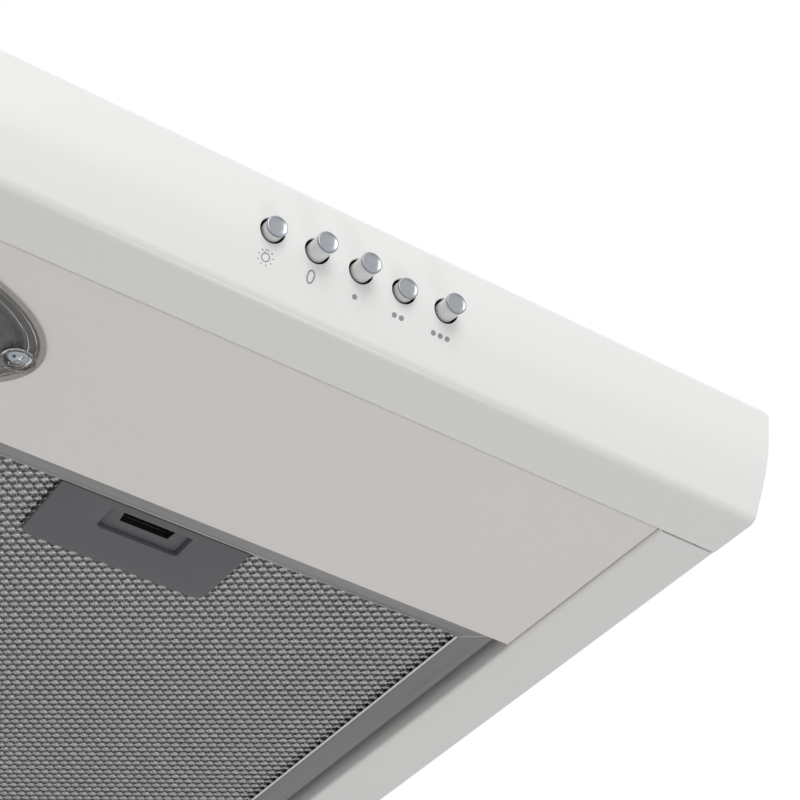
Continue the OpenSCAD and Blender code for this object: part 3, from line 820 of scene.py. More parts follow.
@dataclass
class FrontPanel:
    """The curved front with its underside lip and its button holes."""

    wall: float = 1.5
    seam_gap: float = 0.9
    lip_depth: float = 22.3
    belly_depth: float = 31.6
    belly_z: float = 21.5
    nose_round: float = 3.8
    belly_round: float = 55.0
    lip_round: float = 4.5
    end_round: float = 0.9
    # rim and hole_reach bound the faces that get the painted shade in the button holes.
    rim: float = -0.1
    hole_reach: float = 4.7
    back_inset: float = 6.0
    back_z: Pair = (9.0, 34.0)
    smooth_below: float = 24.0
    box: Box = field(default_factory=lambda: Box.of("front_panel"))

    def build(self, tools: Sequence[Object]) -> Object:
        """Builds the panel.

        Args:
            tools: The cutters of the button holes.

        Returns:
            The panel.
        """
        low, high = self.box.low, self.box.high
        seam, back = high.y, high.y - self.seam_gap
        outline = rounded([
            (back, 0, 0),
            (back, high.z, 0),
            (low.y, high.z, self.nose_round),
            (seam - self.belly_depth, self.belly_z, self.belly_round),
            (seam - self.lip_depth, 0, self.lip_round),
        ])
        panel = prism("front_panel_piece", outline, low.x, high.x)
        with editing(panel):
            pick(Element.EDGE, lambda p, d: abs(p.x) > high.x - 0.1 and abs(d.x) < 0.5)
            round_edges(self.end_round, 4)
        thicken(panel, self.wall)
        opening = block("opening", (low.x + self.back_inset, back - 3, self.back_z[0]),
                        (high.x - self.back_inset, back + 3, self.back_z[1]))
        cut(panel, opening, *tools)
        return smooth(panel, self.smooth_below)

    def _paint_hole_shade(self, panel: Object, places: Sequence[Matrix]) -> None:
        """Paints shade in the button holes: the panel's own hole walls get the black plastic colour as
        painted shade.
        """
        panel.data.materials.append(material_of(FRONT_ENAMEL))
        panel.data.materials.append(material_of(BLACK_PLASTIC))
        backs = [place.inverted() for place in places]
        for face in panel.data.polygons:
            spots = [back @ (face.center / MM) for back in backs]
            in_hole = any(math.hypot(p.x, p.y) < self.hole_reach and p.z < self.rim for p in spots)
            # Painted shade: faces inside a hole, below the rim, take the black material.
            face.material_index = int(in_hole)

    def dress(self, panel: Object, places: Sequence[Matrix]) -> None:
        """Hands the panel over, the walls of its holes painted black as shade."""
        self._paint_hole_shade(panel, places)
        hand_over(panel, "hood", FRONT_ENAMEL, "front_panel")


@dataclass
class Canopy:
    """The sheet casing: sloped front, flat top, turned-in side flanges."""

    sheet: float = 1.2
    flange: float = 23.0
    lip: float = 14.0
    rear_flange_y: float = 204.0
    slope_top_y: float = -88.0
    panel_h: float = 42.2
    fold: float = 1.5
    toe_z: float = 6.0
    rear_round: float = 2.5
    slope_round: float = 12.0
    window_x: Pair = (88.0, 184.0)
    window_z: Pair = (7.0, 37.0)
    duct_r: float = 57.0
    rear_half: float = 58.0
    rear_margin: float = 6.0
    gland_r: float = 8.0
    cabinet_r: float = 2.75
    cabinet_x: float = 270.0
    cabinet_y: Pair = (20.0, 190.0)
    box: Box = field(default_factory=lambda: Box.of("canopy"))

    def build(self) -> Object:
        """Builds the casing."""
        low, high = self.box.low, self.box.high
        inner = high.x - self.flange
        casing = prism("canopy_piece", rounded([
            (low.y, 0, 0),
            (high.y, 0, self.rear_round),
            (high.y, high.z, self.rear_round),
            (self.slope_top_y, high.z, self.slope_round),
            (low.y, self.panel_h, 0),
        ]), low.x, high.x)
        with editing(casing):
            pick(Element.EDGE, lambda p, d: abs(p.x) > high.x - 0.1 and abs(d.x) < 0.5 and p.y > low.y + 0.1)
            round_edges(self.fold, 4)
            for x in (-inner, inner):
                pick(Element.FACE, lambda p, n: n.z < -0.99 and p.z < 0.1)
                bpy.ops.mesh.bisect(plane_co=metres((x, 0, 0)), plane_no=(1, 0, 0))
            pick(Element.FACE, lambda p, n: n.z < -0.99 and p.z < 0.1)
            bpy.ops.mesh.bisect(plane_co=metres((0, self.rear_flange_y, 0)), plane_no=(0, 1, 0))
            pick(Element.FACE, lambda p, n: n.z < -0.99 and p.z < 0.1 and abs(p.x) < inner and p.y < 200)
            bpy.ops.mesh.delete(type="FACE")
            pick(Element.FACE, lambda p, n: n.y < -0.99)
            bpy.ops.mesh.bisect(plane_co=metres((0, 0, self.toe_z)), plane_no=(0, 0, 1))
            for x in (-inner, inner):
                pick(Element.FACE, lambda p, n: n.y < -0.99)
                bpy.ops.mesh.bisect(plane_co=metres((x, 0, 0)), plane_no=(1, 0, 0))
            pick(Element.FACE, lambda p, n: n.y < -0.99 and p.z < self.toe_z and abs(p.x) < inner)
            bpy.ops.mesh.delete(type="FACE")
            pick(Element.EDGE, lambda p, d: abs(abs(p.x) - inner) < 0.1 and p.z < 0.1
                 and abs(d.y) > 0.9 and p.y < self.rear_flange_y)
            extrude((0, 0, self.lip))
            pick(Element.EDGE, lambda p, d: abs(abs(p.x) - inner) < 0.1 and p.z < 0.1
                 and abs(d.y) > 0.9 and p.y < self.rear_flange_y)
            round_edges(self.fold, 4)
        thicken(casing, self.sheet)
        cut(casing, *self._openings())
        return smooth(casing, 24)

    def _openings(self) -> list[Object]:
        """Makes the cutters of the casing's openings."""
        low, high = self.box.low, self.box.high
        duct = Box.of("duct_collar").middle
        gland = Box.of("cable_gland").middle
        rear = Box.of("rear_outlet_cover")
        tools = [
            block("window", (self.window_x[0], low.y - 1, self.window_z[0]),
                  (self.window_x[1], low.y + 2.2, self.window_z[1])),
            bar("duct_hole", at((0, duct.y, high.z)), self.duct_r, 10, 96),
            block("rear_hole", (-self.rear_half, high.y - 3, rear.low.z + self.rear_margin),
                  (self.rear_half, high.y + 1, rear.high.z - self.rear_margin)),
            bar("gland_hole", at((gland.x, gland.y, high.z)), self.gland_r, 10),
        ]
        for x in (-self.cabinet_x, self.cabinet_x):
            for y in self.cabinet_y:
                tools.append(bar("cabinet_hole", at((x, y, high.z)), self.cabinet_r, 10, 32))
        return tools

    def dress(self, casing: Object) -> None:
        """Hands the casing over."""
        hand_over(casing, "hood", WHITE_ENAMEL, "canopy")


@dataclass
class LampPanel:
    """The painted tray behind the front lip, with the oval lamp opening."""

    sheet: float = 1.0
    fold: float = 0.6
    opening: Pair = (63.7, 32.5)
    notch: float = 2.0
    pocket_r: float = 5.6
    box: Box = field(default_factory=lambda: Box.of("lamp_panel"))
    hem_top: float = 5.1

    def build(self) -> Object:
        """Builds the tray."""
        low, high = self.box.low, self.box.high
        tray = block("lamp_panel_piece", low, (high.x, high.y, self.hem_top))
        with editing(tray):
            pick(Element.FACE, lambda p, n: n.z > 0.9)
            bpy.ops.mesh.delete(type="FACE")
            pick(Element.EDGE, lambda p, d: p.z > self.hem_top - 0.1 and abs(d.y) > 0.9)
            extrude((0, 0, high.z - self.hem_top))
            pick(Element.EDGE, lambda p, d: p.z < low.z + 0.1)
            round_edges(self.fold, 5)
        thicken(tray, self.sheet)
        lamp = Box.of("lamp_cover").middle
        oval = bar("oval", at((lamp.x, lamp.y, 2)), 1.0, 8, 128)
        with editing(oval):
            bpy.ops.mesh.select_all(action="SELECT")
            bpy.ops.transform.resize(value=(*self.opening, 1), center_override=metres((lamp.x, lamp.y, 2)))
        screw = Box.of("lamp_cover_screw").middle
        tools = [oval, bar("pocket_hole", at((screw.x, screw.y, 2)), self.pocket_r, 8, 64)]
        for x in (low.x, high.x):
            for y in (low.y, high.y):
                tools.append(block("notch", (x - self.notch, y - self.notch, low.z + 1.2),
                                   (x + self.notch, y + self.notch, high.z + 1)))
        cut(tray, *tools)
        return smooth(tray, 24)

    def dress(self, tray: Object) -> None:
        """Hands the tray over."""
        hand_over(tray, "hood", LAMP_ENAMEL, "lamp_panel")


# ---- Buttons and printed marks ----


@dataclass
class Button:
    """One push button on its tilted axis: a dished chromed cap on a light stem."""

    key: str
    x: float
    out: float
    tilt: float = 10.0
    origin_y: float = -230.15
    origin_z: float = 21.2
    cap_r: float = 3.6
    stem_r: float = 3.2
    sleeve_r: float = 3.46
    cap_h: float = 1.0
    sleeve_end: float = -0.9
    stem_length: float = 23.0
    tip_length: float = 3.0

    @property
    def place(self) -> Matrix:
        """Where the hole is; local Z points out of the panel."""
        return at((self.x, self.origin_y, self.origin_z), 90 + self.tilt)

    def hole(self, radius: float = 4.25) -> Object:
        """The cutter of the button's hole, widened a little at the face."""
        return spun(f"hole_{self.key}", [
            (0, -12), (radius, -12), (radius, -0.25), (radius + 0.35, 0.3), (radius + 0.35, 12), (0, 12),
        ], self.place, 64)

    def build(self) -> tuple[Object, Object]:
        """Builds the cap and the stem."""
        r, top = self.cap_r, self.out
        cap = spun(f"cap_{self.key}_piece", [
            (0, top - 0.34), (1.5, top - 0.32), (2.4, top - 0.24), (2.9, top - 0.1), (3.1, top - 0.01),
            (3.3, top), (r - 0.12, top - 0.05), (r - 0.02, top - 0.2), (r, top - 0.4),
            (r, top - self.cap_h + 0.1), (r - 0.1, top - self.cap_h), (0, top - self.cap_h),
        ], self.place, 64)
        root, foot, tip_r = top - self.cap_h, top - self.stem_length, self.stem_r - 1
        stem = spun(f"stem_{self.key}_piece", [
            (0, root), (self.sleeve_r, root), (self.sleeve_r, self.sleeve_end),
            (self.stem_r, self.sleeve_end - 0.2), (self.stem_r, foot), (self.stem_r - 0.4, foot - 0.4),
            (tip_r, foot - 0.4), (tip_r, foot - self.tip_length), (0, foot - self.tip_length),
        ], self.place, 64)
        return smooth(cap, 32), smooth(stem, 32)

    def dress(self, cap: Object, stem: Object) -> None:
        """Hands the cap and the stem over."""
        hand_over(cap, f"button_{self.key}", BUTTON_CHROME, f"cap_{self.key}")
        hand_over(stem, f"button_{self.key}", STEM_PLASTIC, f"stem_{self.key}")


@dataclass
class Marks:
    """The printed signs under the buttons, laid on the lower part of the front face."""

    buttons: Sequence[Button]
    panel: Object
    height: float = 12.8
    slant: float = 23.4
    face_y: float = -227.24
    dot_r: float = 0.9
    dot_pitch: float = 2.6
    film: float = 0.03

    def _place(self, x: float, across: float = 0.0, up: float = 0.0, turn: float = 0.0) -> Matrix:
        """A place on the face under a button; local Z points out of the face."""
        return (at((x, self.face_y, self.height), 90 + self.slant)
                @ Matrix.Translation((across, up, 0)) @ Matrix.Rotation(math.radians(turn), 4, "Z"))

    def _dots(self, x: float, count: int) -> list[Object]:
        """A row of dots."""
        first = -(count - 1) / 2 * self.dot_pitch
        return [disc("dot", self._place(x, first + k * self.dot_pitch), self.dot_r) for k in range(count)]

    def _ring(self, x: float, radius: float, stroke: float, stretch: float = 1.0, up: float = 0.0) -> Object:
        """A ring, stretched up the face into a long nought where asked."""
        ring = disc("ring", Matrix.Identity(4), radius, 48)
        with editing(ring):
            bpy.ops.mesh.select_all(action="SELECT")
            bpy.ops.transform.resize(value=(1, stretch, 1), center_override=(0, 0, 0))
            inset(stroke)
            bpy.ops.mesh.delete(type="FACE")
        ring.matrix_world = in_metres(self._place(x, 0, up))
        take(ring)
        return settle("ring")

    def _stroke(self, x: float, radius: float, angle: float, size: Pair, up: float) -> Object:
        """A short straight stroke of a length and width, standing off a middle at an angle."""
        turn = math.radians(angle)
        bpy.ops.object.select_all(action="DESELECT")
        bpy.ops.mesh.primitive_plane_add(size=1)
        stroke = bpy.context.active_object
        stroke.matrix_world = in_metres(
            self._place(x, radius * math.cos(turn), up + radius * math.sin(turn), angle))
        stroke.scale = metres((*size, 1))
        settle("stroke")
        with editing(stroke):
            bpy.ops.mesh.select_all(action="SELECT")
            bpy.ops.mesh.subdivide(number_cuts=1)
        return stroke

    def _lamp(self, x: float) -> list[Object]:
        """The lamp sign: a bulb ring with its cap on top and rays around."""
        up = -0.4
        parts = [self._ring(x, 1.5, 0.36, up=up)]
        parts += [self._stroke(x, 2.5, angle, (0.75, 0.24), up) for angle in range(130, 411, 40)]
        parts += [self._stroke(x, 2.45, 90, (0.28, 1.3), up)]
        parts += [self._stroke(x + side, 1.9, 90, (1.0, 0.26), up) for side in (-0.55, 0.55)]
        return parts

    def build(self) -> Object:
        """Builds all the signs as one thin film on the face."""
        by_key = {b.key: b.x for b in self.buttons}
        parts = self._lamp(by_key["light"])
        parts.append(self._ring(by_key["off"], 1.38, 0.5, stretch=1.75))
        for count in (1, 2, 3):
            parts += self._dots(by_key[f"speed_{count}"], count)
        marks = joined("printed_marks", parts)
        modify(marks, "SHRINKWRAP", target=self.panel, wrap_method="NEAREST_SURFACEPOINT",
               wrap_mode="ABOVE_SURFACE", offset=self.film * MM)
        modify(marks, "SOLIDIFY", thickness=self.film * 0.8 * MM, offset=-1.0)
        return smooth(marks)

    def dress(self, marks: Object) -> None:
        """Hands the signs over."""
        hand_over(marks, "hood", MARK_INK, slot="front_enamel")


# ---- Lamp ----


@dataclass
class LampUnit:
    """The clear oval cover with its screw, and the pan, holder and bulb behind it."""

    wall: float = 0.9
    rim_z: float = 0.25
    steps: tuple[Pair, ...] = (
        (0.7, 0.05), (2.5, -0.1), (0.5, -0.45), (1.3, 0.0), (0.4, 0.35), (0.7, 0.0), (0.4, -0.4),
        (1.0, 0.0), (0.5, -0.9), (0.9, 0.0), (0.5, 0.4), (0.7, 0.0), (0.6, -0.7), (1.6, -0.15),
    )
    pocket_r: float = 5.4
    box: Box = field(default_factory=lambda: Box.of("lamp_cover"))

    def _cover(self) -> Object:
        """The cover: an oval dish with rings moulded round it, and a pocket for its screw."""
        middle, high = self.box.middle, self.box.high
        cover = disc("lamp_cover_piece", at((middle.x, middle.y, self.rim_z), 180), 1.0, 128)
        centre = metres((middle.x, middle.y, self.rim_z))
        with editing(cover):
            bpy.ops.mesh.select_all(action="SELECT")
            bpy.ops.transform.resize(value=(high.x - middle.x, high.y - middle.y, 1), center_override=centre)
            for width, depth in self.steps:
                inset(width, depth)
        thicken(cover, self.wall)
        screw = Box.of("lamp_cover_screw").middle
        cut(cover, bar("hole", at((screw.x, screw.y, 2)), self.pocket_r - 0.2, 12, 64))
        r = self.pocket_r
        pocket = spun("pocket", [
            (r + 0.5, 0.42), (r + 0.35, 0.2), (r - 0.3, 0.12),
            (r - 0.8, 0.35), (r - 1.0, 0.8), (r - 1.1, 3.0), (2.2, 3.02), (2.2, 3.9),
            (r - 0.25, 3.9), (r - 0.25, 0.8), (r + 0.5, 0.6),
        ], at((screw.x, screw.y, 0)), 64, closed=True)
        return smooth(joined("lamp_cover_piece", [cover, pocket]), 30)

    def _screw(self) -> Object:
        """The pan-headed screw with its cross recess, facing down."""
        box = Box.of("lamp_cover_screw")
        top = box.low.z + 2.0
        screw = spun("lamp_cover_screw_piece", [
            (0, 2.0), (1.6, 1.97), (2.8, 1.78), (3.7, 1.35), (4.15, 0.8), (4.3, 0.3), (4.25, 0.0),
            (2.0, 0.0), (2.0, -7.6), (1.2, -8.0), (0, -8.0),
        ], at((box.middle.x, box.middle.y, top), 180), 64)
        for angle in (25, 115):
            arm = block("arm", (-2.7, -0.6, 0), (2.7, 0.6, 1.9))
            with editing(arm):
                pick(Element.FACE, lambda p, n: n.z > 0.9)
                bpy.ops.transform.resize(value=(0.35, 0.7, 1), center_override=metres((0, 0, 1.8)))
            arm.matrix_world = in_metres(at((box.middle.x, box.middle.y, box.low.z - 0.2))
                                         @ Matrix.Rotation(math.radians(angle), 4, "Z"))
            take(arm)
            cut(screw, settle("arm"))
        return smooth(screw, 28)

    def build(self) -> dict[str, Object]:
        """Builds the lamp's pieces."""
        return {
            "cover": self._cover(),
            "screw": self._screw(),
            "pan": refined("lamp_pan", 0.3),
            "holder": refined("lamp_holder", 0.4),
            "bulb": refined("bulb", 0.0),
        }

    def dress(self, pieces: dict[str, Object]) -> None:
        """Hands the lamp's pieces over."""
        hand_over(pieces["cover"], "hood", CLEAR_COVER, "lamp_cover")
        hand_over(pieces["screw"], "hood", CHROME_SCREW, "lamp_cover_screw")
        # The pan is zinc steel, painted dark as the shade inside it.
        hand_over(pieces["pan"], "hood", PAN_STEEL_SHADED, "lamp_pan", slot="zinc_steel")
        hand_over(pieces["holder"], "hood", CERAMIC, "lamp_holder")
        hand_over(pieces["bulb"], "hood", BULB_GLASS, "bulb")


# ---- Grease filters ----


@dataclass
class ExpandedSheet:
    """One layer of expanded metal: rows of zigzag strands, swollen where they touch at their bonds."""

    pitch_x: float = 5.95
    pitch_y: float = 4.4
    bond: float = 2.2
    strand: float = 0.5
    swell: float = 3.3
    lap: float = 0.4
    gauge: float = 0.5
    ridge: float = 0.06

    def build(self, name: str, low: Point, high: Point) -> Object:
        """Builds a layer that fills a rectangle at one height.

        Args:
            name: The new object's name.
            low: The lowest corner of the rectangle, at the height of the layer's middle.
            high: The highest corner.

        Returns:
            The layer.
        """
        low, high = Vector(low), Vector(high)
        wide = self.strand * self.swell
        rise = self.pitch_y / 2 - self.lap
        run = self.pitch_x / 2 - self.bond
        start = Vector((low.x, low.y + wide, low.z))
        half, top = self.strand / 2, self.gauge * 0.4
        corners = [(-half, top), (self.ridge, top - self.gauge), (half, top)]
        sheet = line(name, [start + Vector((0, a, b)) for a, b in corners], closed=True)
        with editing(sheet):
            bpy.ops.mesh.select_all(action="SELECT")
            middle = start
            along, grown, shrunk = (self.bond / 2, 0, 0), self.swell, 1 / self.swell
            for step, size in (
                (along, grown), (along, shrunk), ((run, rise, 0), 1),
                (along, grown), (along, shrunk), ((run, -rise, 0), 1),
            ):
                extrude(step)
                middle = middle + Vector(step)
                bpy.ops.transform.resize(value=(1, size, size ** 0.5), center_override=metres(middle))
            bpy.ops.mesh.select_all(action="SELECT")
            bpy.ops.mesh.normals_make_consistent(inside=False)
        columns = math.ceil((high.x - low.x) / self.pitch_x) + 1
        repeat(sheet, columns, (self.pitch_x, 0, 0), gap=0.01)
        repeat(sheet, 2, (-self.pitch_x / 2, self.pitch_y / 2, 0))
        with editing(sheet):
            for x, way in ((low.x, -1), (high.x, 1)):
                bpy.ops.mesh.select_all(action="SELECT")
                bpy.ops.mesh.bisect(plane_co=metres((x, 0, 0)), plane_no=(way, 0, 0), clear_outer=True)
            bpy.ops.mesh.select_all(action="SELECT")
            bpy.ops.mesh.fill_holes(sides=4)
            bpy.ops.mesh.select_all(action="SELECT")
            bpy.ops.mesh.normals_make_consistent(inside=False)
        repeat(sheet, math.floor((high.y - low.y - wide) / self.pitch_y), (0, self.pitch_y, 0))
        return sheet


@dataclass
class GreaseFilter:
    """One grease filter: mitred frame, layers of expanded metal, latch."""

    side: str
    channel: float = 0.8
    bar_front: float = 8.6
    bar_side: float = 11.0
    mitre: float = 0.16
    lip: float = 1.3
    hem: float = 1.0
    hook_x: float = 90.0
    hook_w: float = 14.0
    hook_r: float = 2.56
    hook_gauge: float = 1.0
    way_half: float = 8.3
    tongue_half: float = 8.0
    recess_half: float = 15.75
    recess_front: float = 3.7
    recess_rear: float = 16.4
    floor_z: float = 5.2
    slot_half: float = 10.2
    slot_rear: float = 11.2
    slot_taper: float = 0.9
    margin: float = 1.2
    bead: Pair = (200.5, 7.5)
    plate: Box = field(default_factory=lambda: Box.of("latch_plate_right"))
    box: Box = field(default_factory=lambda: Box.of("filter_mesh_right"))
    frame_low: Vector = field(default_factory=lambda: Box.of("filter_frame_right").low)
    depth: float = 305.0
    height: float = 9.0

    @property
    def centre_x(self) -> float:
        """The sideways middle of the right filter, which the left one is copied from."""
        return self.box.middle.x

    def _frame(self) -> Object:
        """The mitred channel frame, with its rolled inner lip and its hooks."""
        low = self.frame_low
        half = self.centre_x - low.x
        high = Vector((self.centre_x + half, low.y + self.depth, low.z + self.height))
        shell = block("filter_frame_piece", low, high)
        extra = self.bar_side - self.bar_front
        inner_x, inner_y = half - self.bar_side, self.depth / 2 - self.bar_front
        middle_y = low.y + self.depth / 2
        with editing(shell):
            for way in (-1, 1):
                pick(Element.FACE, lambda p, n: n.z * way > 0.9)
                inset(self.bar_front)
                for side in (-1, 1):
                    pick(Element.VERT, lambda p, n: abs(p.y - middle_y) < inner_y + 0.1
                         and (p.x - self.centre_x) * side > 0
                         and abs(p.z - (high.z if way > 0 else low.z)) < 0.1)
                    shift((-extra * side, 0, 0))
                pick(Element.FACE, lambda p, n: n.z * way > 0.9
                     and abs(p.x - self.centre_x) < 1 and abs(p.y - middle_y) < 1)
                bpy.ops.mesh.delete(type="FACE")
            self._pick_inner(middle_y, inner_x, inner_y)
            extrude((0, 0, self.lip))
            pick(Element.EDGE, lambda p, d: abs(d.x) > 0.3 and abs(d.y) > 0.3 and abs(d.z) < 0.1)
            bpy.ops.mesh.bevel(offset=self.mitre / 2 * MM, segments=1, affect="EDGES")
            pick(Element.FACE, lambda p, n: abs(n.z) > 0.9
                 and self._off_mitre(p, low, high) < self.mitre * 0.2)
            bpy.ops.mesh.delete(type="ONLY_FACE")
        thicken(shell, self.channel)
        tongue = block("tongue_way", (self.centre_x - self.way_half, low.y - 1, 5.1),
                       (self.centre_x + self.way_half, low.y + 2, 7.7))
        cut(shell, tongue)
        modify(shell, "BEVEL", width=0.22 * MM, segments=2, limit_method="ANGLE",
               angle_limit=math.radians(50), use_clamp_overlap=True)
        hems = [self._hem(side, inner_x, middle_y, inner_y) for side in (-1, 1)]
        hems += [self._mitre_highlight(x, y) for x in (low.x, high.x) for y in (low.y, high.y)]
        whole = joined("filter_frame_piece", [shell, *hems, *self._hooks()])
        return smooth(whole, 35)

    def _hem(self, side: int, inner_x: float, middle_y: float, inner_y: float) -> Object:
        """The rolled edge that runs along a side bar's inner side, painted bright as a highlight by
        _colour_bars.
        """
        x, z = self.centre_x + side * inner_x, self.frame_low.z
        hem = block("hem", (x - self.hem / 2, middle_y - inner_y + 0.4, z + 0.05),
                    (x + self.hem / 2, middle_y + inner_y - 0.4, z + self.hem))
        with editing(hem):
            pick(Element.EDGE, lambda p, d: abs(d.y) > 0.9)
            round_edges(self.hem * 0.35, 3)
        return hem

    def _mitre_highlight(self, x: float, y: float) -> Object:
        """A thin strip in the mitre, from a corner of the frame, that carries the painted highlight of the
        mitre edge.
        """
        way_x = math.copysign(self.bar_side, self.centre_x - x)
        way_y = math.copysign(self.bar_front, self.frame_low.y + self.depth / 2 - y)
        length = math.hypot(way_x, way_y)
        highlight_strip = block("highlight_strip", (0.8, -self.mitre * 0.6, 0.03), (length - 0.3, self.mitre * 0.6, 0.5))
        highlight_strip.matrix_world = in_metres(Matrix.Translation((x, y, self.frame_low.z))
                                      @ Matrix.Rotation(math.atan2(way_y, way_x), 4, "Z"))
        take(highlight_strip)
        return settle("highlight_strip")

    def _pick_inner(self, middle_y: float, inner_x: float, inner_y: float) -> None:
        """Selects the inner edges of the frame's lower face."""
        pick(Element.EDGE, lambda p, d: p.z < self.frame_low.z + 0.1 and (
            abs(abs(p.x - self.centre_x) - inner_x) < 0.1 and abs(d.y) > 0.9 and abs(p.y - middle_y) < 1
            or abs(abs(p.y - middle_y) - inner_y) < 0.1 and abs(d.x) > 0.9 and abs(p.x - self.centre_x) < 1))

    def _off_mitre(self, point: Vector, low: Vector, high: Vector) -> float:
        """How far a point of the frame lies off the nearest mitre line, measured across it."""
        in_x = min(point.x - low.x, high.x - point.x)
        in_y = min(point.y - low.y, high.y - point.y)
        length = math.hypot(self.bar_front, self.bar_side)
        return abs(in_x * self.bar_front - in_y * self.bar_side) / length

    def _hooks(self) -> list[Object]:
        """The two rear hooks that hang on the rail's round edge."""
        y, z = self.bead
        radius, gauge = self.hook_r, self.hook_gauge
        arc = [(y + radius * math.cos(math.radians(a)), z + radius * math.sin(math.radians(a)))
               for a in range(192, 33, -6)]
        rear = self.frame_low.y + self.depth
        hooks = []
        for x in (self.centre_x - self.hook_x, self.centre_x + self.hook_x):
            for path in (arc, [(rear - 0.5, z + 0.1), (y - radius, z + 0.1)]):
                hook = strip("hook", path, x - self.hook_w / 2, x + self.hook_w / 2)
                thicken(hook, gauge, 0.0)
                clean(hook)
                hooks.append(hook)
        return hooks

    def _colour_bars(self, shell: Object) -> None:
        """Gives the frame's side bars the grain that runs fore and aft, and paints a highlight in near-white
        aluminium on the hems and along the mitres.
        """
        shell.data.materials.clear()
        shell.data.materials.append(material_of(FRAME_ALONG))
        shell.data.materials.append(material_of(FRAME_ACROSS))
        shell.data.materials.append(material_of(FRAME_HIGHLIGHT))
        low = self.frame_low
        high = Vector((2 * self.centre_x - low.x, low.y + self.depth, 0))
        for face in shell.data.polygons:
            middle = face.center / MM
            in_x = min(middle.x - low.x, high.x - middle.x)
            in_y = min(middle.y - low.y, high.y - middle.y)
            side = in_x * self.bar_front < in_y * self.bar_side and in_y > 0
            # Painted highlight: hem faces and mitre faces near the bottom take the near-white aluminium.
            hem = abs(in_x - self.bar_side) < self.hem * 0.6 and side and middle.z < low.z + self.hem
            mitre = self._off_mitre(middle, low, high) < self.mitre and middle.z < low.z + 0.6
            face.material_index = 2 if hem or mitre else int(side)

    def _layers(self) -> dict[str, Object]:
        """The mesh pack: two layers that show from below, a core slab whose darker aluminium is painted shade
        standing for the inner layers, and one layer on top.
        """
        low, high = self.box.low, self.box.high
        near = Vector((self.frame_low.x + self.bar_side - self.margin,
                       self.frame_low.y + self.bar_front - self.margin, 0))
        far = Vector((2 * self.centre_x - near.x, 2 * self.box.middle.y - near.y, 0))
        far.y = self.frame_low.y + self.depth - self.bar_front + self.margin
        front = ExpandedSheet().build("mesh_front", (near.x, near.y, low.z + 0.5), (far.x, far.y, 0))
        gap = self.plate
        with editing(front):
            pick(Element.FACE, lambda p, n: gap.low.x + 1 < p.x < gap.high.x - 1 and p.y < gap.high.y - 1.2)
            bpy.ops.mesh.delete(type="FACE")
            bpy.ops.mesh.select_all(action="SELECT")
            bpy.ops.mesh.fill_holes(sides=4)
        take(front)
        bpy.ops.object.shade_smooth()
        second = copy_of(front, "mesh_second", (ExpandedSheet.pitch_x / 2, 0, 1.0))
        back = copy_of(front, "mesh_back", (0, 0, high.z - low.z - 1.0))
        core = block("mesh_core", (low.x, low.y, low.z + 2.1), (high.x, high.y, high.z - 1.1))
        cut(core, block("corner", (gap.low.x - 0.2, low.y - 1, low.z),
                        (gap.high.x + 0.2, gap.high.y + 0.2, high.z)))
        with editing(core):
            bpy.ops.mesh.select_all(action="SELECT")
            bpy.ops.mesh.bevel(offset=0.3 * MM, segments=2, affect="EDGES")
        return {"front": front, "second": second, "back": back, "core": smooth(core)}

    def _slot(self, z0: float, z1: float) -> Object:
        """The cutter of the finger slot, a trapezoid that narrows to the rear, between two heights."""
        x, y = self.plate.middle.x, self.plate.low.y
        slot = block("slot", (x - self.slot_half, y + self.recess_front, z0),
                     (x + self.slot_half, y + self.slot_rear, z1))
        with editing(slot):
            for side in (-1, 1):
                pick(Element.EDGE, lambda p, d: abs(d.z) > 0.9 and p.y > y + 8 and (p.x - x) * side > 0)
                shift((-self.slot_taper * side, 0, 0))
        return slot

    def _latch(self) -> Object:
        """The latch plate with its finger recess, slot and slider room."""
        low, high, x = self.plate.low, self.plate.high, self.plate.middle.x
        plate = block("latch_plate_piece", low, high)
        with editing(plate):
            pick(Element.EDGE, lambda p, d: abs(d.z) > 0.9 and p.y > high.y - 0.1)
            round_edges(3.6, 8)
        recess = block("recess", (x - self.recess_half, low.y + self.recess_front, low.z - 1),
                       (x + self.recess_half, low.y + self.recess_rear, self.floor_z))
        with editing(recess):
            pick(Element.EDGE, lambda p, d: abs(d.z) > 0.9 and p.y > low.y + 16)
            round_edges(1.6, 5)
        room = block("room", (x - 15.3, low.y - 1, 5.0), (x + 15.3, low.y + 30, 7.9))
        spring = block("spring_room", (x - 3, low.y + 23.5, 5.0), (x + 3, high.y - 1.5, 9.2))
        cut(plate, recess, self._slot(5.0, 10.3), room, spring)
        with editing(plate):
            pick(Element.EDGE, lambda p, d: abs(p.z - low.z) < 0.01 and abs(d.z) < 0.1)
            round_edges(0.28, 3)
        return smooth(plate, 30)

    def _slider(self) -> Object:
        """The latch slider: a plate that forms the recess's floor, its slot and its tongue."""
        x, low = self.plate.middle.x, self.plate.low
        slider = block("latch_slider_piece", (x - 15, low.y + 0.2, self.floor_z), (x + 15, low.y + 24.5, 7.6))
        cut(slider, self._slot(4, 9))
        tongue = block("tongue", (x - self.tongue_half, self.frame_low.y - 4, 5.4),
                       (x + self.tongue_half, low.y + 1, 7.5))
        with editing(tongue):
            pick(Element.FACE, lambda p, n: n.y < -0.9)
            bpy.ops.transform.resize(value=(0.92, 1, 0.5), center_override=metres((x, 0, 7.5)))
        for part in (slider, tongue):
            with editing(part):
                pick(Element.EDGE, lambda p, d: True)
                round_edges(0.2, 2)
        return smooth(joined("latch_slider_piece", [slider, tongue]), 30)

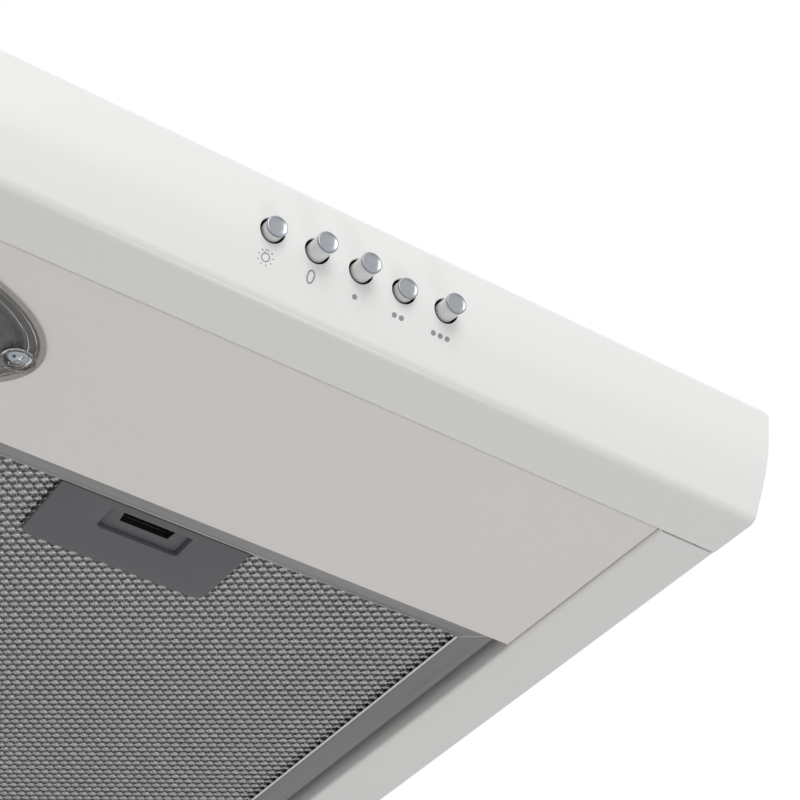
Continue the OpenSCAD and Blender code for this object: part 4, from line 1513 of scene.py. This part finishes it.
    def _paint_slot_shade(self, piece: Object) -> None:
        """Paints shade deep inside the slot: its walls above the recess floor get a near-black plastic
        colour.
        """
        x, low = self.plate.middle.x, self.plate.low
        piece.data.materials.clear()
        piece.data.materials.append(material_of(LATCH_PLASTIC))
        piece.data.materials.append(material_of(LATCH_SLOT_SHADE))
        for face in piece.data.polygons:
            middle = face.center / MM
            across = abs(middle.x - x) < self.slot_half + 0.5
            along = self.recess_front - 0.2 < middle.y - low.y < self.slot_rear + 0.2
            # Painted shade: slot faces above the recess floor take the near-black material.
            face.material_index = int(across and along and middle.z > self.floor_z + 0.05)

    def build(self) -> dict[str, Object]:
        """Builds the right filter's pieces."""
        pieces = {"frame": self._frame(), **self._layers(), "plate": self._latch(), "slider": self._slider()}
        self._colour_bars(pieces["frame"])
        self._paint_slot_shade(pieces["plate"])
        self._paint_slot_shade(pieces["slider"])
        return pieces

    def dress(self, pieces: dict[str, Object]) -> None:
        """Hands one filter's pieces over under its side's names."""
        side, body, latch = self.side, f"filter_{self.side}", f"latch_{self.side}"
        names = {
            "frame": (body, FRAME_ALONG, "filter_aluminium", (f"filter_frame_{side}",)),
            "front": (body, MESH_FRONT, "mesh_aluminium", (f"filter_mesh_{side}",)),
            "second": (body, MESH_SECOND_LIT, "mesh_aluminium", ()),
            "back": (body, MESH_FRONT, "mesh_aluminium", ()),
            "core": (body, MESH_CORE_SHADED, "mesh_aluminium", ()),
            "plate": (body, LATCH_PLASTIC, "latch_plastic", (f"latch_plate_{side}",)),
            "slider": (latch, LATCH_SLOT_SHADE, "slider_plastic", (f"latch_slider_{side}",)),
        }
        for key, (rides_on, finish, slot, nodes) in names.items():
            piece = pieces[key]
            piece.name = piece.data.name = f"filter_{side}_{key}"
            hand_over(piece, rides_on, finish, *nodes, slot=slot)


# ---- Blower, duct and electrics ----


@dataclass(frozen=True)
class Fitting:
    """A CAD node shown as a refined copy."""

    node: str
    body: str
    finish: Finish
    edge: float = 0.25


@dataclass
class Fittings:
    """The pieces behind the filters and on top, as copies with rounded edges."""

    rows: Sequence[Fitting] = (
        Fitting("filter_rail", "hood", ZINC_STEEL, 0.15),
        Fitting("switch_block", "hood", BLACK_PLASTIC, 0.4),
        Fitting("switch_bracket", "hood", ZINC_STEEL, 0.2),
        Fitting("blower_housing", "hood", BLOWER_PLASTIC, 0.4),
        Fitting("blower_base", "hood", BLOWER_PLASTIC, 0.4),
        Fitting("inlet_grille", "hood", GRILLE_PLASTIC, 0.2),
        Fitting("impeller", "fan", FAN_PLASTIC, 0.2),
        Fitting("motor_can", "hood", MOTOR_STEEL, 0.5),
        Fitting("duct_collar", "hood", COLLAR_PLASTIC, 0.35),
        Fitting("flap_front", "flap_front", FLAP_PLASTIC, 0.2),
        Fitting("flap_rear", "flap_rear", FLAP_PLASTIC, 0.2),
        Fitting("flap_pin", "hood", ZINC_SCREW, 0.2),
        Fitting("rear_outlet_cover", "hood", WHITE_ENAMEL, 0.5),
        Fitting("capacitor", "hood", CAPACITOR_PLASTIC, 0.6),
        Fitting("capacitor_clip", "hood", ZINC_STEEL, 0.15),
        Fitting("terminal_box", "hood", BOX_PLASTIC, 0.4),
        Fitting("terminal_cover", "hood", BOX_PLASTIC, 0.4),
        Fitting("terminal_block", "hood", BLOCK_PLASTIC, 0.3),
        Fitting("cable_gland", "hood", GLAND_RUBBER, 0.4),
        Fitting("panel_screws", "hood", ZINC_SCREW, 0.12),
        Fitting("lamp_panel_screws", "hood", ZINC_SCREW, 0.12),
        Fitting("blower_screws", "hood", ZINC_SCREW, 0.12),
        Fitting("collar_screws", "hood", ZINC_SCREW, 0.12),
        Fitting("motor_screws", "hood", ZINC_SCREW, 0.12),
    )
    plain: tuple[tuple[str, Finish], ...] = (
        ("latch_spring_right", SPRING_STEEL),
        ("latch_spring_left", SPRING_STEEL),
        ("rotor", BRONZE),
        ("motor_stator", LAMINATION),
        ("motor_windings", COPPER),
        ("motor_bearings", BRONZE),
        ("wiring", WIRE_SHEATH),
    )

    def build(self) -> dict[str, Object]:
        """Builds the copies."""
        return {row.node: refined(row.node, row.edge) for row in self.rows}

    def dress(self, pieces: dict[str, Object]) -> None:
        """Hands the copies over, and dresses the nodes that stay."""
        for row in self.rows:
            hand_over(pieces[row.node], row.body, row.finish, row.node)
        for node, finish in self.plain:
            target = frame["nodes"][node]
            target.data.materials.clear()
            target.data.materials.append(material_of(finish))
            LOG.info("%s stays, in %s", node, finish.name)


# ---- Studio ----


@dataclass
class Studio:
    """Camera, floor, lamps and the pale room."""

    lens: float = 101.9
    camera_at: Point = (-118.0, -682.1, -453.0)
    right: Point = (0.840, -0.542, 0.041)
    up: Point = (-0.370, -0.515, 0.773)
    floor_z: float = -2600.0
    room: float = 0.58

    def camera(self) -> None:
        """Puts the camera in front of the hood, low and to its left, looking up."""
        camera = bpy.data.objects.new("camera", bpy.data.cameras.new("camera"))
        bpy.context.scene.collection.objects.link(camera)
        right = Vector(self.right).normalized()
        back = right.cross(Vector(self.up)).normalized()
        turn = Matrix((right, back.cross(right), back)).transposed()
        camera.matrix_world = Matrix.Translation(metres(self.camera_at)) @ turn.to_4x4()
        camera.data.lens = self.lens
        camera.data.sensor_width = 36.0
        camera.data.clip_start = 0.01
        bpy.context.scene.camera = camera

    def floor(self) -> None:
        """Lays the pale floor well below the hood."""
        bpy.ops.object.select_all(action="DESELECT")
        bpy.ops.mesh.primitive_plane_add(size=1, location=metres((0, 0, self.floor_z)))
        bpy.context.active_object.scale = (60, 60, 1)
        floor = settle("floor")
        with editing(floor):
            bpy.ops.mesh.select_all(action="SELECT")
            bpy.ops.mesh.subdivide(number_cuts=7)
        floor.data.materials.append(material_of(Enamel("floor_paint", paint(236, 236, 236), 0.7, peel=0.02)))

    def lamp(self, name: str, place: Point, target: Point, size: float, power: float) -> None:
        """Hangs one square soft lamp.

        Args:
            name: The lamp's name.
            place: Where it hangs.
            target: The point that it faces.
            size: Its width.
            power: Its power in watts.
        """
        data = bpy.data.lights.new(name, "AREA")
        data.size, data.energy = size * MM, power
        lamp = bpy.data.objects.new(name, data)
        lamp.matrix_world = (Matrix.Translation(metres(place))
                             @ (Vector(place) - Vector(target)).to_track_quat("Z", "Y").to_matrix().to_4x4())
        lamp.visible_camera = False
        bpy.context.scene.collection.objects.link(lamp)

    def world(self) -> None:
        """Makes the room white where it is seen or mirrored, and dimmer where it only lights."""
        world = bpy.data.worlds.new("room")
        bpy.context.scene.world = world
        world.use_nodes = True
        nodes, links = world.node_tree.nodes, world.node_tree.links
        nodes.clear()
        path = nodes.new("ShaderNodeLightPath")
        seen = path.outputs["Is Camera Ray"]
        for ray in ("Is Glossy Ray", "Is Transmission Ray"):
            either = nodes.new("ShaderNodeMath")
            either.operation = "MAXIMUM"
            links.new(seen, either.inputs[0])
            links.new(path.outputs[ray], either.inputs[1])
            seen = either.outputs[0]
        mix = nodes.new("ShaderNodeMixShader")
        links.new(seen, mix.inputs[0])
        for slot, level in ((1, self.room), (2, 1.0)):
            background = nodes.new("ShaderNodeBackground")
            background.inputs["Color"].default_value = (1.0, 1.0, 1.0, 1.0)
            background.inputs["Strength"].default_value = level
            links.new(background.outputs[0], mix.inputs[slot])
        output = nodes.new("ShaderNodeOutputWorld")
        links.new(mix.outputs[0], output.inputs["Surface"])

    def build(self) -> None:
        """Sets the studio up."""
        self.camera()
        self.floor()
        self.world()
        self.lamp("front_softbox", (-500, -2300, 900), (50, -230, 20), 1500, 26.0)
        self.lamp("low_softbox", (900, -700, -1700), (100, -60, 0), 500, 4.5)
        bpy.context.scene.view_settings.view_transform = "Standard"


def main() -> None:
    """Builds the hood, piece by piece."""
    logging.basicConfig(level=logging.INFO, format="%(message)s")
    Studio().build()
    outs = {"light": 3.3, "off": 7.0, "speed_1": 6.8, "speed_2": 2.8, "speed_3": 6.3}
    buttons = [Button(key, Box.of(f"cap_{key}").middle.x, out) for key, out in outs.items()]
    front = FrontPanel()
    panel = front.build([button.hole() for button in buttons])
    front.dress(panel, [button.place for button in buttons])
    for button in buttons:
        button.dress(*button.build())
    marks = Marks(buttons, panel)
    marks.dress(marks.build())
    for unit in (Canopy(), LampPanel(), LampUnit(), Fittings()):
        unit.dress(unit.build())
    right = GreaseFilter("right")
    pieces = right.build()
    step = (-2 * right.centre_x, 0, 0)
    copies = {key: copy_of(piece, f"left_{key}", step) for key, piece in pieces.items()}
    right.dress(pieces)
    GreaseFilter("left").dress(copies)


if __name__ == "__main__":
    main()
